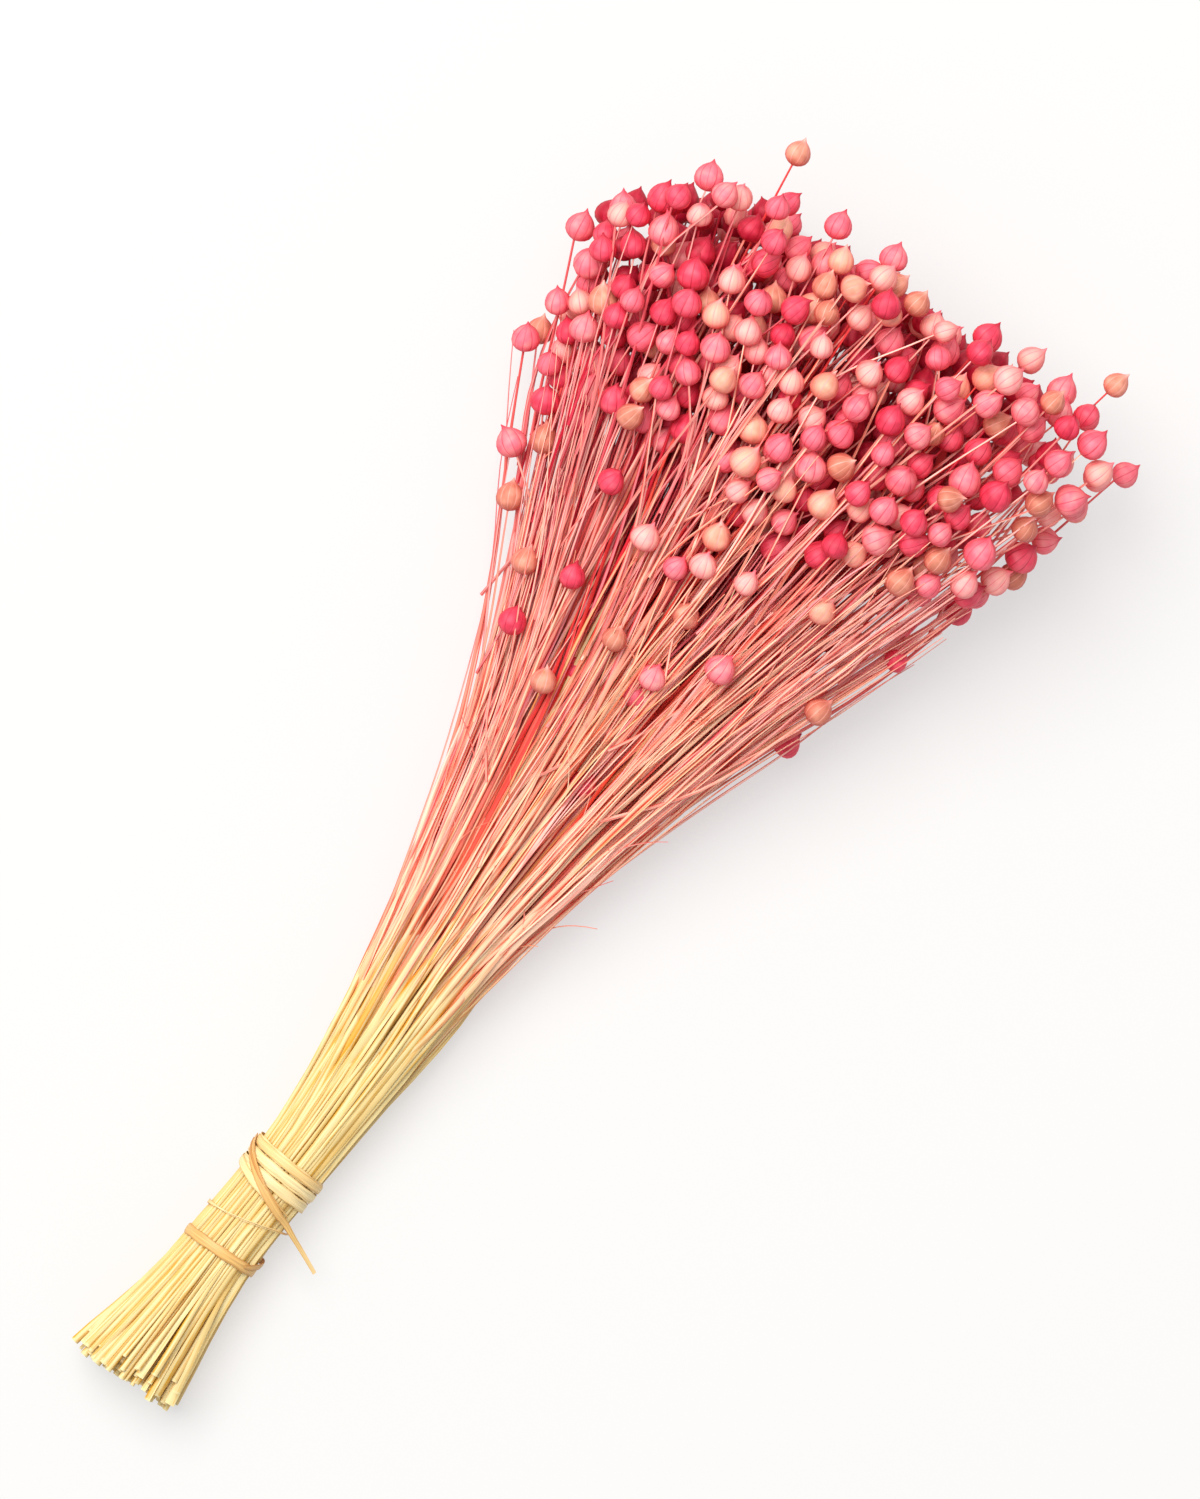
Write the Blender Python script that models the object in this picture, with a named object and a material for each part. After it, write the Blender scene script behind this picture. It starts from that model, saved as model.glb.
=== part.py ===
"""A bunch of dried flax, lying on its side.

Fifty flax plants, each grown in one piece from its cut stem end to its seed bolls, are held near their cut
ends by raffia. They lie side by side through the two ties, and fan out above them into a broad head.

The bunch runs along +X, from the cut ends to the bolls, and +Z is up. The origin is under the middle of the
bunch, on the surface that it lies on. "Along" is the distance from the cut ends, "across" runs along +Y from
the bundle's own middle line, and "up" is the height above the surface.
"""

import math
import random

import bmesh
import bpy
import numpy as np
from mathutils import Matrix, Vector

MM = 0.001

# Driving dimensions of the bunch.
PLANTS = 50
HEAD_REACH = 384 * MM  # how far along the tallest plants of the main head end
BUNDLE_HALF_WIDTH = 10.4 * MM  # of the stems' centres, through the ties
BUNDLE_HALF_HEIGHT = 9.2 * MM
HEAD_HALF_WIDTH = 82 * MM
HEAD_HALF_HEIGHT = 38.8 * MM
NECK_FROM, NECK_TO = 44 * MM, 88 * MM  # the stretch that the ties hold, where the stems run side by side
FAN_TO = 375 * MM  # the bundle has opened into the head here
EARLY_FAN = 0.32  # the share of the opening that goes evenly with the distance from the ties
SPREADING = 0.8  # how far the stems crowd towards the head's sides, from 0, as in a disc, to 1, evenly across
TOP_SQUARENESS, UNDERSIDE_SQUARENESS = 2.6, 5.0  # exponents of the head's section: 2 is round, and more is boxy
END_FLARE = 6.0 * MM  # how much wider the bundle is at the cut ends than in the neck
END_BEND = 5.0 * MM  # how far the cut ends stand to one side
BEND_FROM, BEND_TO = 18 * MM, 92 * MM
STATIONS = (NECK_FROM, NECK_TO, 150 * MM, 215 * MM, 300 * MM)  # where every stem has a section
ORIGIN_ALONG, ORIGIN_ACROSS = 202.24 * MM, -0.41 * MM

# One plant.
STEM_RADIUS_AT_CUT = 0.86 * MM
STEM_RADIUS_AT_TIE = 0.80 * MM
STEM_RADIUS_AT_FORK = 0.55 * MM
STALK_RADIUS = 0.38 * MM  # the thin stalk that carries one boll
BOLL_RADIUS = 4.0 * MM
BOLL_SPREAD = 0.12  # bolls are up to this share larger or smaller
BOLL_LENGTH = 2.25  # base to beak, in radii
BOLL_PROFILE = ((0.20, 0.82), (0.46, 1.0), (0.76, 0.62), (1.0, 0.07))  # share of length, share of radius
SIDES = 5  # a flax boll has five chambers
GAP = 0.3 * MM  # room that separate pieces keep between them
SPARE = 0.12 * MM  # more room, for the corners that the layout's balls don't follow

# Raffia.
RAFFIA_THICKNESS = 0.7 * MM
UPPER_TIE_AT, LOWER_TIE_AT = 74.8 * MM, 47.5 * MM
UPPER_TURNS = 3
UPPER_STRIP_WIDTH = 3.1 * MM
UPPER_PITCH = 3.5 * MM
LOWER_STRIP_WIDTH = 3.2 * MM
CROSS_STRIP_WIDTH = 2.6 * MM
CROSS_FROM, CROSS_TO = 80.5 * MM, 64.8 * MM
TAIL_DROP = 9.5 * MM
FIBRE_RADIUS = 0.3 * MM
STEPS = 16  # straight pieces in one turn
TIE_LINE = STEM_RADIUS_AT_TIE + GAP + 0.5 * RAFFIA_THICKNESS  # of a tie's middle, outside the stems' centres

# Bolls that stand clear of the head, which set its outline: along, across, and height from -1 to 1.
LEADING_BOLLS = (
    (400, 44, 0.35),
    (380, 61, 0.55),
    (360, 77, 0.30),
    (349, 84, 0.00),
    (314, 79, -0.10),
    (274, 57, 0.05),
    (391, 5, 0.40),
    (388, -30, 0.25),
    (390, -44, 0.05),
    (398, -68, 0.00),
    (379, -85, -0.25),
    (337, -75, -0.45),
    (298, -61, -0.50),
    (261, -49, -0.40),
)
# Bolls of short plants, which lie on top of the bundle below the head.
LOW_BOLLS = (
    (236, 19, 0.98),
    (257, 9, 0.98),
    (265, 29, 0.90),
    (286, 18, 0.95),
    (291, -13, 0.98),
    (297, -35, 0.85),
)

# Bolls that the head lies on: along, across.
RESTING_BOLLS = ((358, -47), (346, 46), (368, -13), (330, 13), (306, -24), (312, 30))

PINK = (0.80, 0.19, 0.24)
RAFFIA = (0.74, 0.50, 0.22)


def smoothstep(t):
    """0 below 0, 1 above 1, and an even S between."""
    t = min(max(t, 0.0), 1.0)
    return t * t * (3 - 2 * t)


def between(a, b, t):
    return a + (b - a) * t


def fan(along):
    """How far the bundle has opened into the head, from 0 in the neck to 1."""
    share = min(max((along - NECK_TO) / (FAN_TO - NECK_TO), 0.0), 1.0)
    return between(smoothstep(share**1.45), share, EARLY_FAN)


def flare(along):
    """How far the bundle has opened towards the cut ends, from 0 in the neck to 1."""
    return max(0.0, 1 - along / NECK_FROM) ** 1.2


def half_width(along):
    return between(BUNDLE_HALF_WIDTH, HEAD_HALF_WIDTH, fan(along)) + END_FLARE * flare(along)


def half_height(along):
    return between(BUNDLE_HALF_HEIGHT, HEAD_HALF_HEIGHT, fan(along)) + 0.25 * END_FLARE * flare(along)


def lowest_centre(along):
    """Height of the lowest stem's centre: the raffia holds it up at the ties, and its own bolls at the head."""
    at_ties = STEM_RADIUS_AT_TIE + GAP + RAFFIA_THICKNESS
    at_cut_ends = 0.25 * END_FLARE * flare(along)
    at_head = BOLL_RADIUS * (1 + BOLL_SPREAD) + SPARE
    return between(at_ties, at_head, fan(along)) - min(at_cut_ends, at_ties - STEM_RADIUS_AT_CUT)


def spread(a, opened):
    """The place across, from -1 to 1, of a stem at a in the disc of the neck, where the fan has opened so far."""
    inside = min(max(a, -1.0), 1.0)
    even = (math.asin(inside) + inside * math.sqrt(1 - inside * inside)) * 2 / math.pi
    return between(a, even + a - inside, SPREADING * opened)


def rise(across, squareness):
    """The height, from 0 to 1, of a section of that squareness at a place across."""
    return max(1 - min(abs(across), 1.0) ** squareness, 0.02) ** (1 / squareness)


def bundle_point(along, a, b):
    """The point at (a, b) of the bundle's section there. The section is a disc of radius 1 in the neck. As it
    is stretched to the head's width and height it grows boxy, and stems that keep their (a, b) never meet."""
    opened = fan(along)
    bend = END_BEND * (1 - min(max((along - BEND_FROM) / (BEND_TO - BEND_FROM), 0.0), 1.0))
    place = spread(a, opened)
    squareness = between(2.0, TOP_SQUARENESS if b > 0 else UNDERSIDE_SQUARENESS, opened)
    height = b * rise(place, squareness) / rise(a, 2.0)
    up = lowest_centre(along) + (1 + height) * half_height(along)
    return Vector((along - ORIGIN_ALONG, bend + place * half_width(along) - ORIGIN_ACROSS, up))


def section_size(point):
    """How far out of the bundle's section a point lies: 0 in the middle and 1 at the outside."""
    along = point.x + ORIGIN_ALONG
    middle = bundle_point(along, 0, 0)
    a = abs(point.y - middle.y) / half_width(along)
    b = (point.z - middle.z) / half_height(along)
    squareness = between(2.0, TOP_SQUARENESS if b > 0 else UNDERSIDE_SQUARENESS, fan(along))
    return (a**squareness + abs(b) ** squareness) ** (1 / squareness)


def reach(across):
    """How far along the head reaches, at a place across. Its corners are rounded, and the +Y one more so."""
    return HEAD_REACH - 26 * MM * max(0.0, across) ** 4 - 8 * MM * max(0.0, -across) ** 4


def section_place(index):
    """Even places in a disc, as the seeds of a sunflower lie."""
    radius = math.sqrt((index + 0.5) / PLANTS)
    angle = index * math.pi * (3 - math.sqrt(5))
    return radius * math.cos(angle), radius * math.sin(angle)


class Plant:
    """The place of one plant in the bundle, the places of its bolls, and the lines that its stalks follow."""

    def __init__(self, index):
        self.index = index
        self.at_tie = section_place(index)
        self.target = None
        self.rests = False
        self.shoots = []  # each is (points, radii), and ends with its boll


def boll_rings(base, direction, radius):
    """Centres and radii of the rings of one boll, from above its base to its beak."""
    length = BOLL_LENGTH * radius
    points = [base + direction * (length * share) for share, _ in BOLL_PROFILE]
    return points, [radius * share for _, share in BOLL_PROFILE]


def leaning(direction, lean, chance):
    """The direction turned by up to lean radians, to any side."""
    side = direction.cross(Vector((0, 0, 1))).normalized()
    turned = Matrix.Rotation(chance.uniform(0, 2 * math.pi), 3, direction) @ side
    return (direction + turned * math.tan(chance.uniform(0, lean))).normalized()


def main_shoot(plant, end, wander, chance):
    """The stem, from its cut end through the ties to its own top boll at end. It wanders a little on the way."""
    end_along, a_end, b_end = end
    stations = [chance.uniform(0, 9 * MM)] + [along for along in STATIONS if along < end_along - 25 * MM]
    points, radii = [], []
    for along in stations:
        moved = smoothstep((along - NECK_TO) / (end_along - NECK_TO))
        bow = 4 * moved * (1 - moved)
        a = between(plant.at_tie[0], a_end, moved) + bow * wander * chance.uniform(-1, 1)
        b = between(plant.at_tie[1], b_end, moved) + bow * wander * chance.uniform(-1, 1)
        points.append(bundle_point(along, a, b))
        radii.append(between(STEM_RADIUS_AT_TIE, STEM_RADIUS_AT_FORK, moved))
    radii[0] = STEM_RADIUS_AT_CUT
    radius = BOLL_RADIUS * chance.uniform(1 - BOLL_SPREAD, 1 + BOLL_SPREAD)
    centre = bundle_point(end_along, a_end, b_end)
    if plant.rests:
        centre.z = radius + GAP / 2
    direction = leaning((centre - points[-1]).normalized(), 0.30, chance)
    base = centre - direction * (0.5 * BOLL_LENGTH * radius)
    rings, ring_radii = boll_rings(base, direction, radius)
    return points + [base] + rings, radii + [STALK_RADIUS] + ring_radii


def point_on(points, x):
    """The point of a stem at x, and the stem's direction there."""
    for p, q in zip(points, points[1:]):
        if q.x >= x:
            return p.lerp(q, (x - p.x) / (q.x - p.x)), (q - p).normalized()
    raise ValueError("the stem does not reach that far")


def side_shoot(stem, chance):
    """A branch that leaves the stem's upper part, bends back along it and ends in a boll."""
    points, _ = stem
    tip = points[-1].x
    length = chance.uniform(30, 62) * MM
    root, forward = point_on(points, tip - length - chance.uniform(2, 32) * MM)
    across = forward.cross(Vector((0, 0, 1))).normalized()
    side = Matrix.Rotation(chance.uniform(0, 2 * math.pi), 3, forward) @ across
    spread = length * chance.uniform(0.20, 0.42)
    middle = root + forward * (0.42 * length) + side * (0.62 * spread)
    base = root + forward * length + side * spread
    radius = BOLL_RADIUS * chance.uniform(1 - BOLL_SPREAD, 1 + BOLL_SPREAD)
    direction = leaning((base - middle).normalized(), 0.35, chance)
    rings, ring_radii = boll_rings(base, direction, radius)
    stalk_radii = [STALK_RADIUS * 1.15, STALK_RADIUS * 1.05, STALK_RADIUS]
    return [root, middle, base] + rings, stalk_radii + ring_radii


def beads(shoot, spacing=1.5 * MM):
    """The shoot as a row of balls (x, y, z, radius), close enough together to stand for it."""
    points, radii = shoot
    found = []
    for p, q, r, s in zip(points, points[1:], radii, radii[1:]):
        steps = max(1, math.ceil((q - p).length / spacing))
        found += [(*p.lerp(q, n / steps), between(r, s, n / steps)) for n in range(steps)]
    return np.array(found)


def clear_of(placed, shoot):
    """Whether the shoot keeps its distance from everything placed so far, and from the surface below."""
    balls = beads(shoot)
    if (balls[:, 2] - balls[:, 3]).min() < 0.0:
        return False
    reach_out = 2 * BOLL_RADIUS * (1 + BOLL_SPREAD) + GAP + SPARE
    low, high = balls[:, :3].min(0) - reach_out, balls[:, :3].max(0) + reach_out
    for others in placed:
        near = others[((others[:, :3] > low) & (others[:, :3] < high)).all(1)]
        if len(near) == 0:
            continue
        apart = np.linalg.norm(balls[:, None, :3] - near[None, :, :3], axis=2)
        if (apart - balls[:, None, 3] - near[None, :, 3]).min() < GAP + SPARE:
            return False
    return True


def in_section(along, across, height):
    """The (a, b) of a boll at a place across, and at a height from -1 to 1 of the section there."""
    low, high = -1.3, 1.3
    for _ in range(30):
        a = 0.5 * (low + high)
        if spread(a, fan(along)) * half_width(along) < across:
            low = a
        else:
            high = a
    return a, height * rise(a, 2.0)


def share_out_targets(plants):
    """Gives each boll with a set place to the plant whose own place in the ties is nearest to it."""
    leading = sorted(LEADING_BOLLS, key=lambda place: -abs(place[1]))
    resting = [(along, across, -1.0) for along, across in RESTING_BOLLS]
    for along, across, height in leading + resting + list(LOW_BOLLS):
        a, b = in_section(along * MM, across * MM, height)
        free = [plant for plant in plants if plant.target is None]
        nearest = min(free, key=lambda p: (p.at_tie[0] - a) ** 2 + (p.at_tie[1] - b) ** 2)
        nearest.target = (along * MM, a, b)
        nearest.rests = height == -1.0


def drawn_end(plant, wider, chance):
    """Where a plant's top boll is tried: near its target, or near the plant's own place in the ties."""
    if plant.target:
        end_along, a, b = plant.target
        return end_along, a, b + 0.05 * (wider - 1) * chance.uniform(-1, 1)
    a = plant.at_tie[0] * 0.97 + 0.07 * wider * chance.uniform(-1, 1)
    b = plant.at_tie[1] * 0.97 + 0.07 * wider * chance.uniform(-1, 1)
    size = max(1.0, math.hypot(a, b))
    return reach(spread(a / size, 1.0)) - 52 * MM * chance.random() ** 1.3, a / size, b / size


def grow_stem(plant, placed, chance):
    """Sets the plant's stem, drawing it again until it stands clear of the others. The more often it found no
    room, the wider it looks."""
    for attempt in range(600):
        wider = 1 + attempt / 60
        shoot = main_shoot(plant, drawn_end(plant, wider, chance), 0.02 * wider, chance)
        if clear_of(placed, shoot):
            plant.shoots = [shoot]
            placed.append(beads(shoot))
            return
    raise RuntimeError(f"no room was found for plant {plant.index + 1}")


def grow_branch(plant, placed, chance):
    """Adds a branch where there is room for one."""
    own = beads(plant.shoots[0])
    others = [balls for balls in placed if not np.array_equal(balls, own)]
    for _ in range(80):
        shoot = side_shoot(plant.shoots[0], chance)
        points, radii = shoot
        tip = points[-1]
        a = (tip.y + ORIGIN_ACROSS) / HEAD_HALF_WIDTH
        if section_size(tip) > 1.04 or tip.x + ORIGIN_ALONG > reach(a) + 5 * MM:
            continue
        if clear_of(others, shoot) and clear_of([own], (points[2:], radii[2:])):
            plant.shoots.append(shoot)
            placed.append(beads(shoot))
            return


def grow(plants, chance):
    """Sets the shoots of every plant, those with a set place first."""
    placed = []
    share_out_targets(plants)
    for plant in sorted(plants, key=lambda plant: plant.target is None):
        grow_stem(plant, placed, chance)
    for plant in plants:
        for _ in range(2 if plant.index % 8 == 0 else 1):
            grow_branch(plant, placed, chance)


def material(name, colour, roughness):
    made = bpy.data.materials.new(name)
    made.use_nodes = True
    shader = made.node_tree.nodes["Principled BSDF"]
    shader.inputs["Base Color"].default_value = (*colour, 1)
    shader.inputs["Roughness"].default_value = roughness
    shader.inputs["Metallic"].default_value = 0.0
    return made


def helper(obj, helpers):
    """Keeps a profile or a branch out of the model itself."""
    helpers.objects.link(obj)
    obj.hide_render = True
    obj.display_type = "WIRE"
    return obj


def ring_profile(name, corners, helpers):
    """A closed outline that a curve sweeps along itself."""
    data = bpy.data.curves.new(name, "CURVE")
    data.dimensions = "2D"
    spline = data.splines.new("POLY")
    spline.points.add(len(corners) - 1)
    for point, (x, y) in zip(spline.points, corners):
        point.co = (x, y, 0, 1)
    spline.use_cyclic_u = True
    return helper(bpy.data.objects.new(name, data), helpers)


def swept(name, points, radii, profile, cyclic=False, twist="MINIMUM"):
    """A tube along the points, whose section is the profile scaled by each point's radius."""
    data = bpy.data.curves.new(name, "CURVE")
    data.dimensions = "3D"
    data.bevel_mode = "OBJECT"
    data.bevel_object = profile
    data.use_fill_caps = True
    data.twist_mode = twist
    spline = data.splines.new("POLY")
    spline.points.add(len(points) - 1)
    spline.use_cyclic_u = cyclic
    for point, place, radius in zip(spline.points, points, radii):
        point.co = (*place, 1)
        point.radius = radius
    return bpy.data.objects.new(name, data)


def as_mesh(curve_object):
    """The curve's tube as a closed mesh object of the same name."""
    scene_collection = bpy.context.scene.collection
    scene_collection.objects.link(curve_object)
    bpy.context.view_layer.update()
    evaluated = curve_object.evaluated_get(bpy.context.evaluated_depsgraph_get())
    mesh = bpy.data.meshes.new_from_object(evaluated)
    form = bmesh.new()
    form.from_mesh(mesh)
    bmesh.ops.remove_doubles(form, verts=form.verts, dist=0.002 * MM)
    bmesh.ops.recalc_face_normals(form, faces=form.faces)
    form.to_mesh(mesh)
    form.free()
    name = curve_object.name
    data = curve_object.data
    bpy.data.objects.remove(curve_object)
    bpy.data.curves.remove(data)
    return bpy.data.objects.new(name, mesh)


def build_plant(plant, profile, finish, bunch, helpers):
    """One plant: its stem, with a Boolean union for each branch."""
    name = f"flax_plant_{plant.index + 1:02d}"
    stem = as_mesh(swept(name, *plant.shoots[0], profile))
    stem.data.materials.append(finish)
    stem.data.shade_smooth()
    stem.data.set_sharp_from_angle(angle=math.radians(50))
    bunch.objects.link(stem)
    for number, shoot in enumerate(plant.shoots[1:], 1):
        branch = helper(as_mesh(swept(f"{name}_branch_{number}", *shoot, profile)), helpers)
        union = stem.modifiers.new(f"branch {number}", "BOOLEAN")
        union.operation = "UNION"
        union.object = branch
    return stem


def around(along, turn, clearance):
    """A corner of a wrap round the bundle at this turn, which is 0 at +Y and a quarter turn at the top. Its
    straight pieces keep this far outside the stems' centres."""
    corner = 1 / math.cos(math.pi / STEPS)
    across = math.cos(turn) * (half_width(along) + clearance) * corner
    up = math.sin(turn) * (half_height(along) + clearance) * corner
    return bundle_point(along, 0, 0) + Vector((0, across, up))


def strip_section(name, width, helpers):
    """The section of a raffia strip. Its width follows the profile's Y, which is kept along the bunch."""
    w, t = 0.5 * width, 0.5 * RAFFIA_THICKNESS
    return ring_profile(name, ((-t, w), (t, w), (t, -w), (-t, -w)), helpers)


def wrapped_strip(name, points, widths, profile, finish, bunch, cyclic=False):
    """A raffia strip that lies flat on the bundle. It is swept in a frame whose Z runs along the bunch, so
    that the strip's width does too, and the object is then turned to bring that Z to X."""
    turn = Matrix.Rotation(math.radians(90), 4, "Y")
    back = turn.inverted()
    strip = swept(name, [back @ point for point in points], widths, profile, cyclic, "Z_UP")
    strip.matrix_world = turn
    strip.data.materials.append(finish)
    bunch.objects.link(strip)


def build_ties(finish, bunch, helpers):
    """The upper tie, one strip wound three times side by side, and the lower one, a single closed turn."""
    bottom = -0.5 * math.pi
    wound = []
    for n in range(UPPER_TURNS * STEPS + 1):
        along = UPPER_TIE_AT + UPPER_PITCH * (0.5 * UPPER_TURNS - n / STEPS)
        wound.append(around(along, bottom + 2 * math.pi * (n + 0.5) / STEPS, TIE_LINE))
    section = strip_section("upper strip", UPPER_STRIP_WIDTH, helpers)
    wrapped_strip("upper_raffia_tie", wound, [1.0] * len(wound), section, finish, bunch)
    turns = [bottom + 2 * math.pi * (n + 0.5) / STEPS for n in range(STEPS)]
    ring = [around(LOWER_TIE_AT, turn, TIE_LINE) for turn in turns]
    section = strip_section("lower strip", LOWER_STRIP_WIDTH, helpers)
    wrapped_strip("lower_raffia_tie", ring, [1.0] * STEPS, section, finish, bunch, cyclic=True)


def build_cross_strip(finish, bunch, helpers):
    """The strip that crosses over the upper tie, from the +Y edge to the -Y one, and ends free."""
    over = TIE_LINE + RAFFIA_THICKNESS + GAP
    path, widths = [], []
    for n in range(9):
        share = n / 8
        along = between(CROSS_FROM, CROSS_TO, 1 - (1 - share) ** 1.3)
        path.append(around(along, math.radians(between(8, 136, share)), over))
        widths.append(between(1.0, 0.85, share))
    root = path[-1]
    for out, drop, width in ((0.33, 0.42, 0.7), (0.66, 0.78, 0.6), (1.0, 1.0, 0.5)):
        path.append(root + Vector((-8 * MM * out, -16 * MM * out, -TAIL_DROP * drop)))
        widths.append(width)
    section = strip_section("cross strip", CROSS_STRIP_WIDTH, helpers)
    wrapped_strip("raffia_cross_strip", path, widths, section, finish, bunch)


def build_fibre(finish, bunch):
    """A thin raffia fibre that has come loose between the ties and lies slack round the bundle."""
    outside = STEM_RADIUS_AT_TIE + GAP + FIBRE_RADIUS
    points = []
    for n in range(19):
        share = n / 18
        along = between(55, 63, share) * MM + 0.5 * MM * math.sin(11 * share)
        points.append(around(along, math.radians(between(-55, 215, share)), outside))
    data = bpy.data.curves.new("raffia_fibre", "CURVE")
    data.dimensions = "3D"
    data.bevel_depth = FIBRE_RADIUS
    data.bevel_resolution = 0
    data.use_fill_caps = True
    spline = data.splines.new("POLY")
    spline.points.add(len(points) - 1)
    for point, place in zip(spline.points, points):
        point.co = (*place, 1)
    fibre = bpy.data.objects.new("raffia_fibre", data)
    data.materials.append(finish)
    bunch.objects.link(fibre)


def main():
    for obj in list(bpy.data.objects):
        bpy.data.objects.remove(obj)
    bunch = bpy.data.collections.new("dried flax bunch")
    helpers = bpy.data.collections.new("profiles and branches")
    for collection in (bunch, helpers):
        bpy.context.scene.collection.children.link(collection)
    plants = [Plant(index) for index in range(PLANTS)]
    grow(plants, random.Random(11))
    pentagon = [2 * math.pi * corner / SIDES for corner in range(SIDES)]
    profile = ring_profile("stem section", [(math.cos(t), math.sin(t)) for t in pentagon], helpers)
    straw = material("dyed flax", PINK, 0.6)
    raffia = material("raffia", RAFFIA, 0.55)
    for plant in plants:
        build_plant(plant, profile, straw, bunch, helpers)
    build_ties(raffia, bunch, helpers)
    build_cross_strip(raffia, bunch, helpers)
    build_fibre(raffia, bunch)


main()
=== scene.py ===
"""A bunch of dried flax, dyed pink, lying on a white table.

Run as a script, it grows the bunch's fifty plants where their solids are, fills the bunch up with companion
plants, ties it with raffia, and sets the table, the lights and the camera.

The bunch runs along +X, from the cut ends to the seed bolls. "Along" is the distance from the cut ends,
"across" runs along +Y from the bundle's own middle line, and a place (a, b) is a point of the bundle's
section, which is a disc of radius 1 stretched to the bundle's own width and height. Lengths are in metres.
"""

import functools
import math
import random

import bpy
import numpy as np
from bpy.props import FloatProperty, FloatVectorProperty, IntProperty, PointerProperty
from bpy.types import Operator, Panel, PropertyGroup
from mathutils import Matrix, Vector


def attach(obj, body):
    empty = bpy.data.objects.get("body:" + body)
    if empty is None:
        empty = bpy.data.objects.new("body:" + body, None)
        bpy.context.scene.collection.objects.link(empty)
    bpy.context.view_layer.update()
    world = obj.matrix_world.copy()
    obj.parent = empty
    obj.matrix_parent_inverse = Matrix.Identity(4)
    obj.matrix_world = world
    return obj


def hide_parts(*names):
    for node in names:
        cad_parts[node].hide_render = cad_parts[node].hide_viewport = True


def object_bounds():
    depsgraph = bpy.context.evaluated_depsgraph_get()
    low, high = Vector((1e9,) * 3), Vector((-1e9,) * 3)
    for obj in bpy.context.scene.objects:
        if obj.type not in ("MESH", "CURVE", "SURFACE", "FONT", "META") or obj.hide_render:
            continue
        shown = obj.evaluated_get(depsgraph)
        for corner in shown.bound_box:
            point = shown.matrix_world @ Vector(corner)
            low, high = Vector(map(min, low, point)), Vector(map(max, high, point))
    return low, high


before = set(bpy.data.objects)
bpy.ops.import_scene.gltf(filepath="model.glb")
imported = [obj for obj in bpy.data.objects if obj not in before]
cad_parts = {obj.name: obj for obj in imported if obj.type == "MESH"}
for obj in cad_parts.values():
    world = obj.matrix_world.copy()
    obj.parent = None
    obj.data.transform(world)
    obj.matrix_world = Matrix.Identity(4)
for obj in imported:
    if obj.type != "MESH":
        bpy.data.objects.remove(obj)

bl_info = {
    "name": "Dried flax bunch",
    "version": (1, 0, 0),
    "blender": (4, 5, 0),
    "location": "3D View > Sidebar > Flax bunch",
    "description": "Grows a tied bunch of dried, dyed flax on a white table",
    "category": "Object",
}

MM = 0.001
CAD_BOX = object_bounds()

# The bunch's own measures, which its solids share.
PLANTS = 50
HEAD_REACH = 384 * MM
BUNDLE_HALF_WIDTH = 10.4 * MM
BUNDLE_HALF_HEIGHT = 9.2 * MM
HEAD_HALF_WIDTH = 82 * MM
HEAD_HALF_HEIGHT = 38.8 * MM
NECK_FROM, NECK_TO = 44 * MM, 88 * MM
FAN_TO = 375 * MM
EARLY_FAN = 0.32
SPREADING = 0.8
TOP_SQUARENESS, UNDERSIDE_SQUARENESS = 2.6, 5.0
END_FLARE = 6.0 * MM
END_BEND = 5.0 * MM
BEND_FROM, BEND_TO = 18 * MM, 92 * MM
STATIONS = (NECK_FROM, NECK_TO, 150 * MM, 215 * MM, 300 * MM)
ORIGIN_ALONG, ORIGIN_ACROSS = 202.24 * MM, -0.41 * MM
STEM_RADIUS_AT_CUT = 0.86 * MM
STEM_RADIUS_AT_TIE = 0.80 * MM
STEM_RADIUS_AT_FORK = 0.55 * MM
STALK_RADIUS = 0.38 * MM
BOLL_RADIUS = 4.0 * MM
BOLL_SPREAD = 0.12
BOLL_LENGTH = 2.25
BOLL_PROFILE = ((0.20, 0.82), (0.46, 1.0), (0.76, 0.62), (1.0, 0.07))
GAP = 0.3 * MM
SPARE = 0.12 * MM
RAFFIA_THICKNESS = 0.7 * MM

# How a boll has taken the dye, from 0, tan as it dried, to 1, crimson.
TAN, PEACH, PALE, PINK, DEEP = 0.03, 0.20, 0.42, 0.62, 0.82

# Bolls that stand clear of the head: along, across, height from -1 to 1, and how they have taken the dye.
LEADING_BOLLS = (
    (400, 44, 0.35, 0.10), (380, 61, 0.55, PINK), (360, 77, 0.30, PINK), (349, 84, 0.00, PINK),
    (314, 79, -0.10, PINK), (274, 57, 0.05, TAN), (391, 5, 0.40, PINK), (388, -30, 0.25, DEEP),
    (390, -44, 0.05, PALE), (398, -68, 0.00, 0.10), (379, -85, -0.25, PINK), (337, -75, -0.45, TAN),
    (298, -61, -0.50, DEEP), (261, -49, -0.40, DEEP),
)
# Bolls of short plants, which lie on top of the bundle below the head.
LOW_BOLLS = (
    (236, 19, 0.98, 0.10), (257, 9, 0.98, TAN), (265, 29, 0.90, DEEP), (286, 18, 0.95, PALE),
    (291, -13, 0.98, PALE), (297, -35, 0.85, PEACH),
)
# Bolls that the head lies on.
RESTING_BOLLS = ((358, -47), (346, 46), (368, -13), (330, 13), (306, -24), (312, 30))

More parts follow.
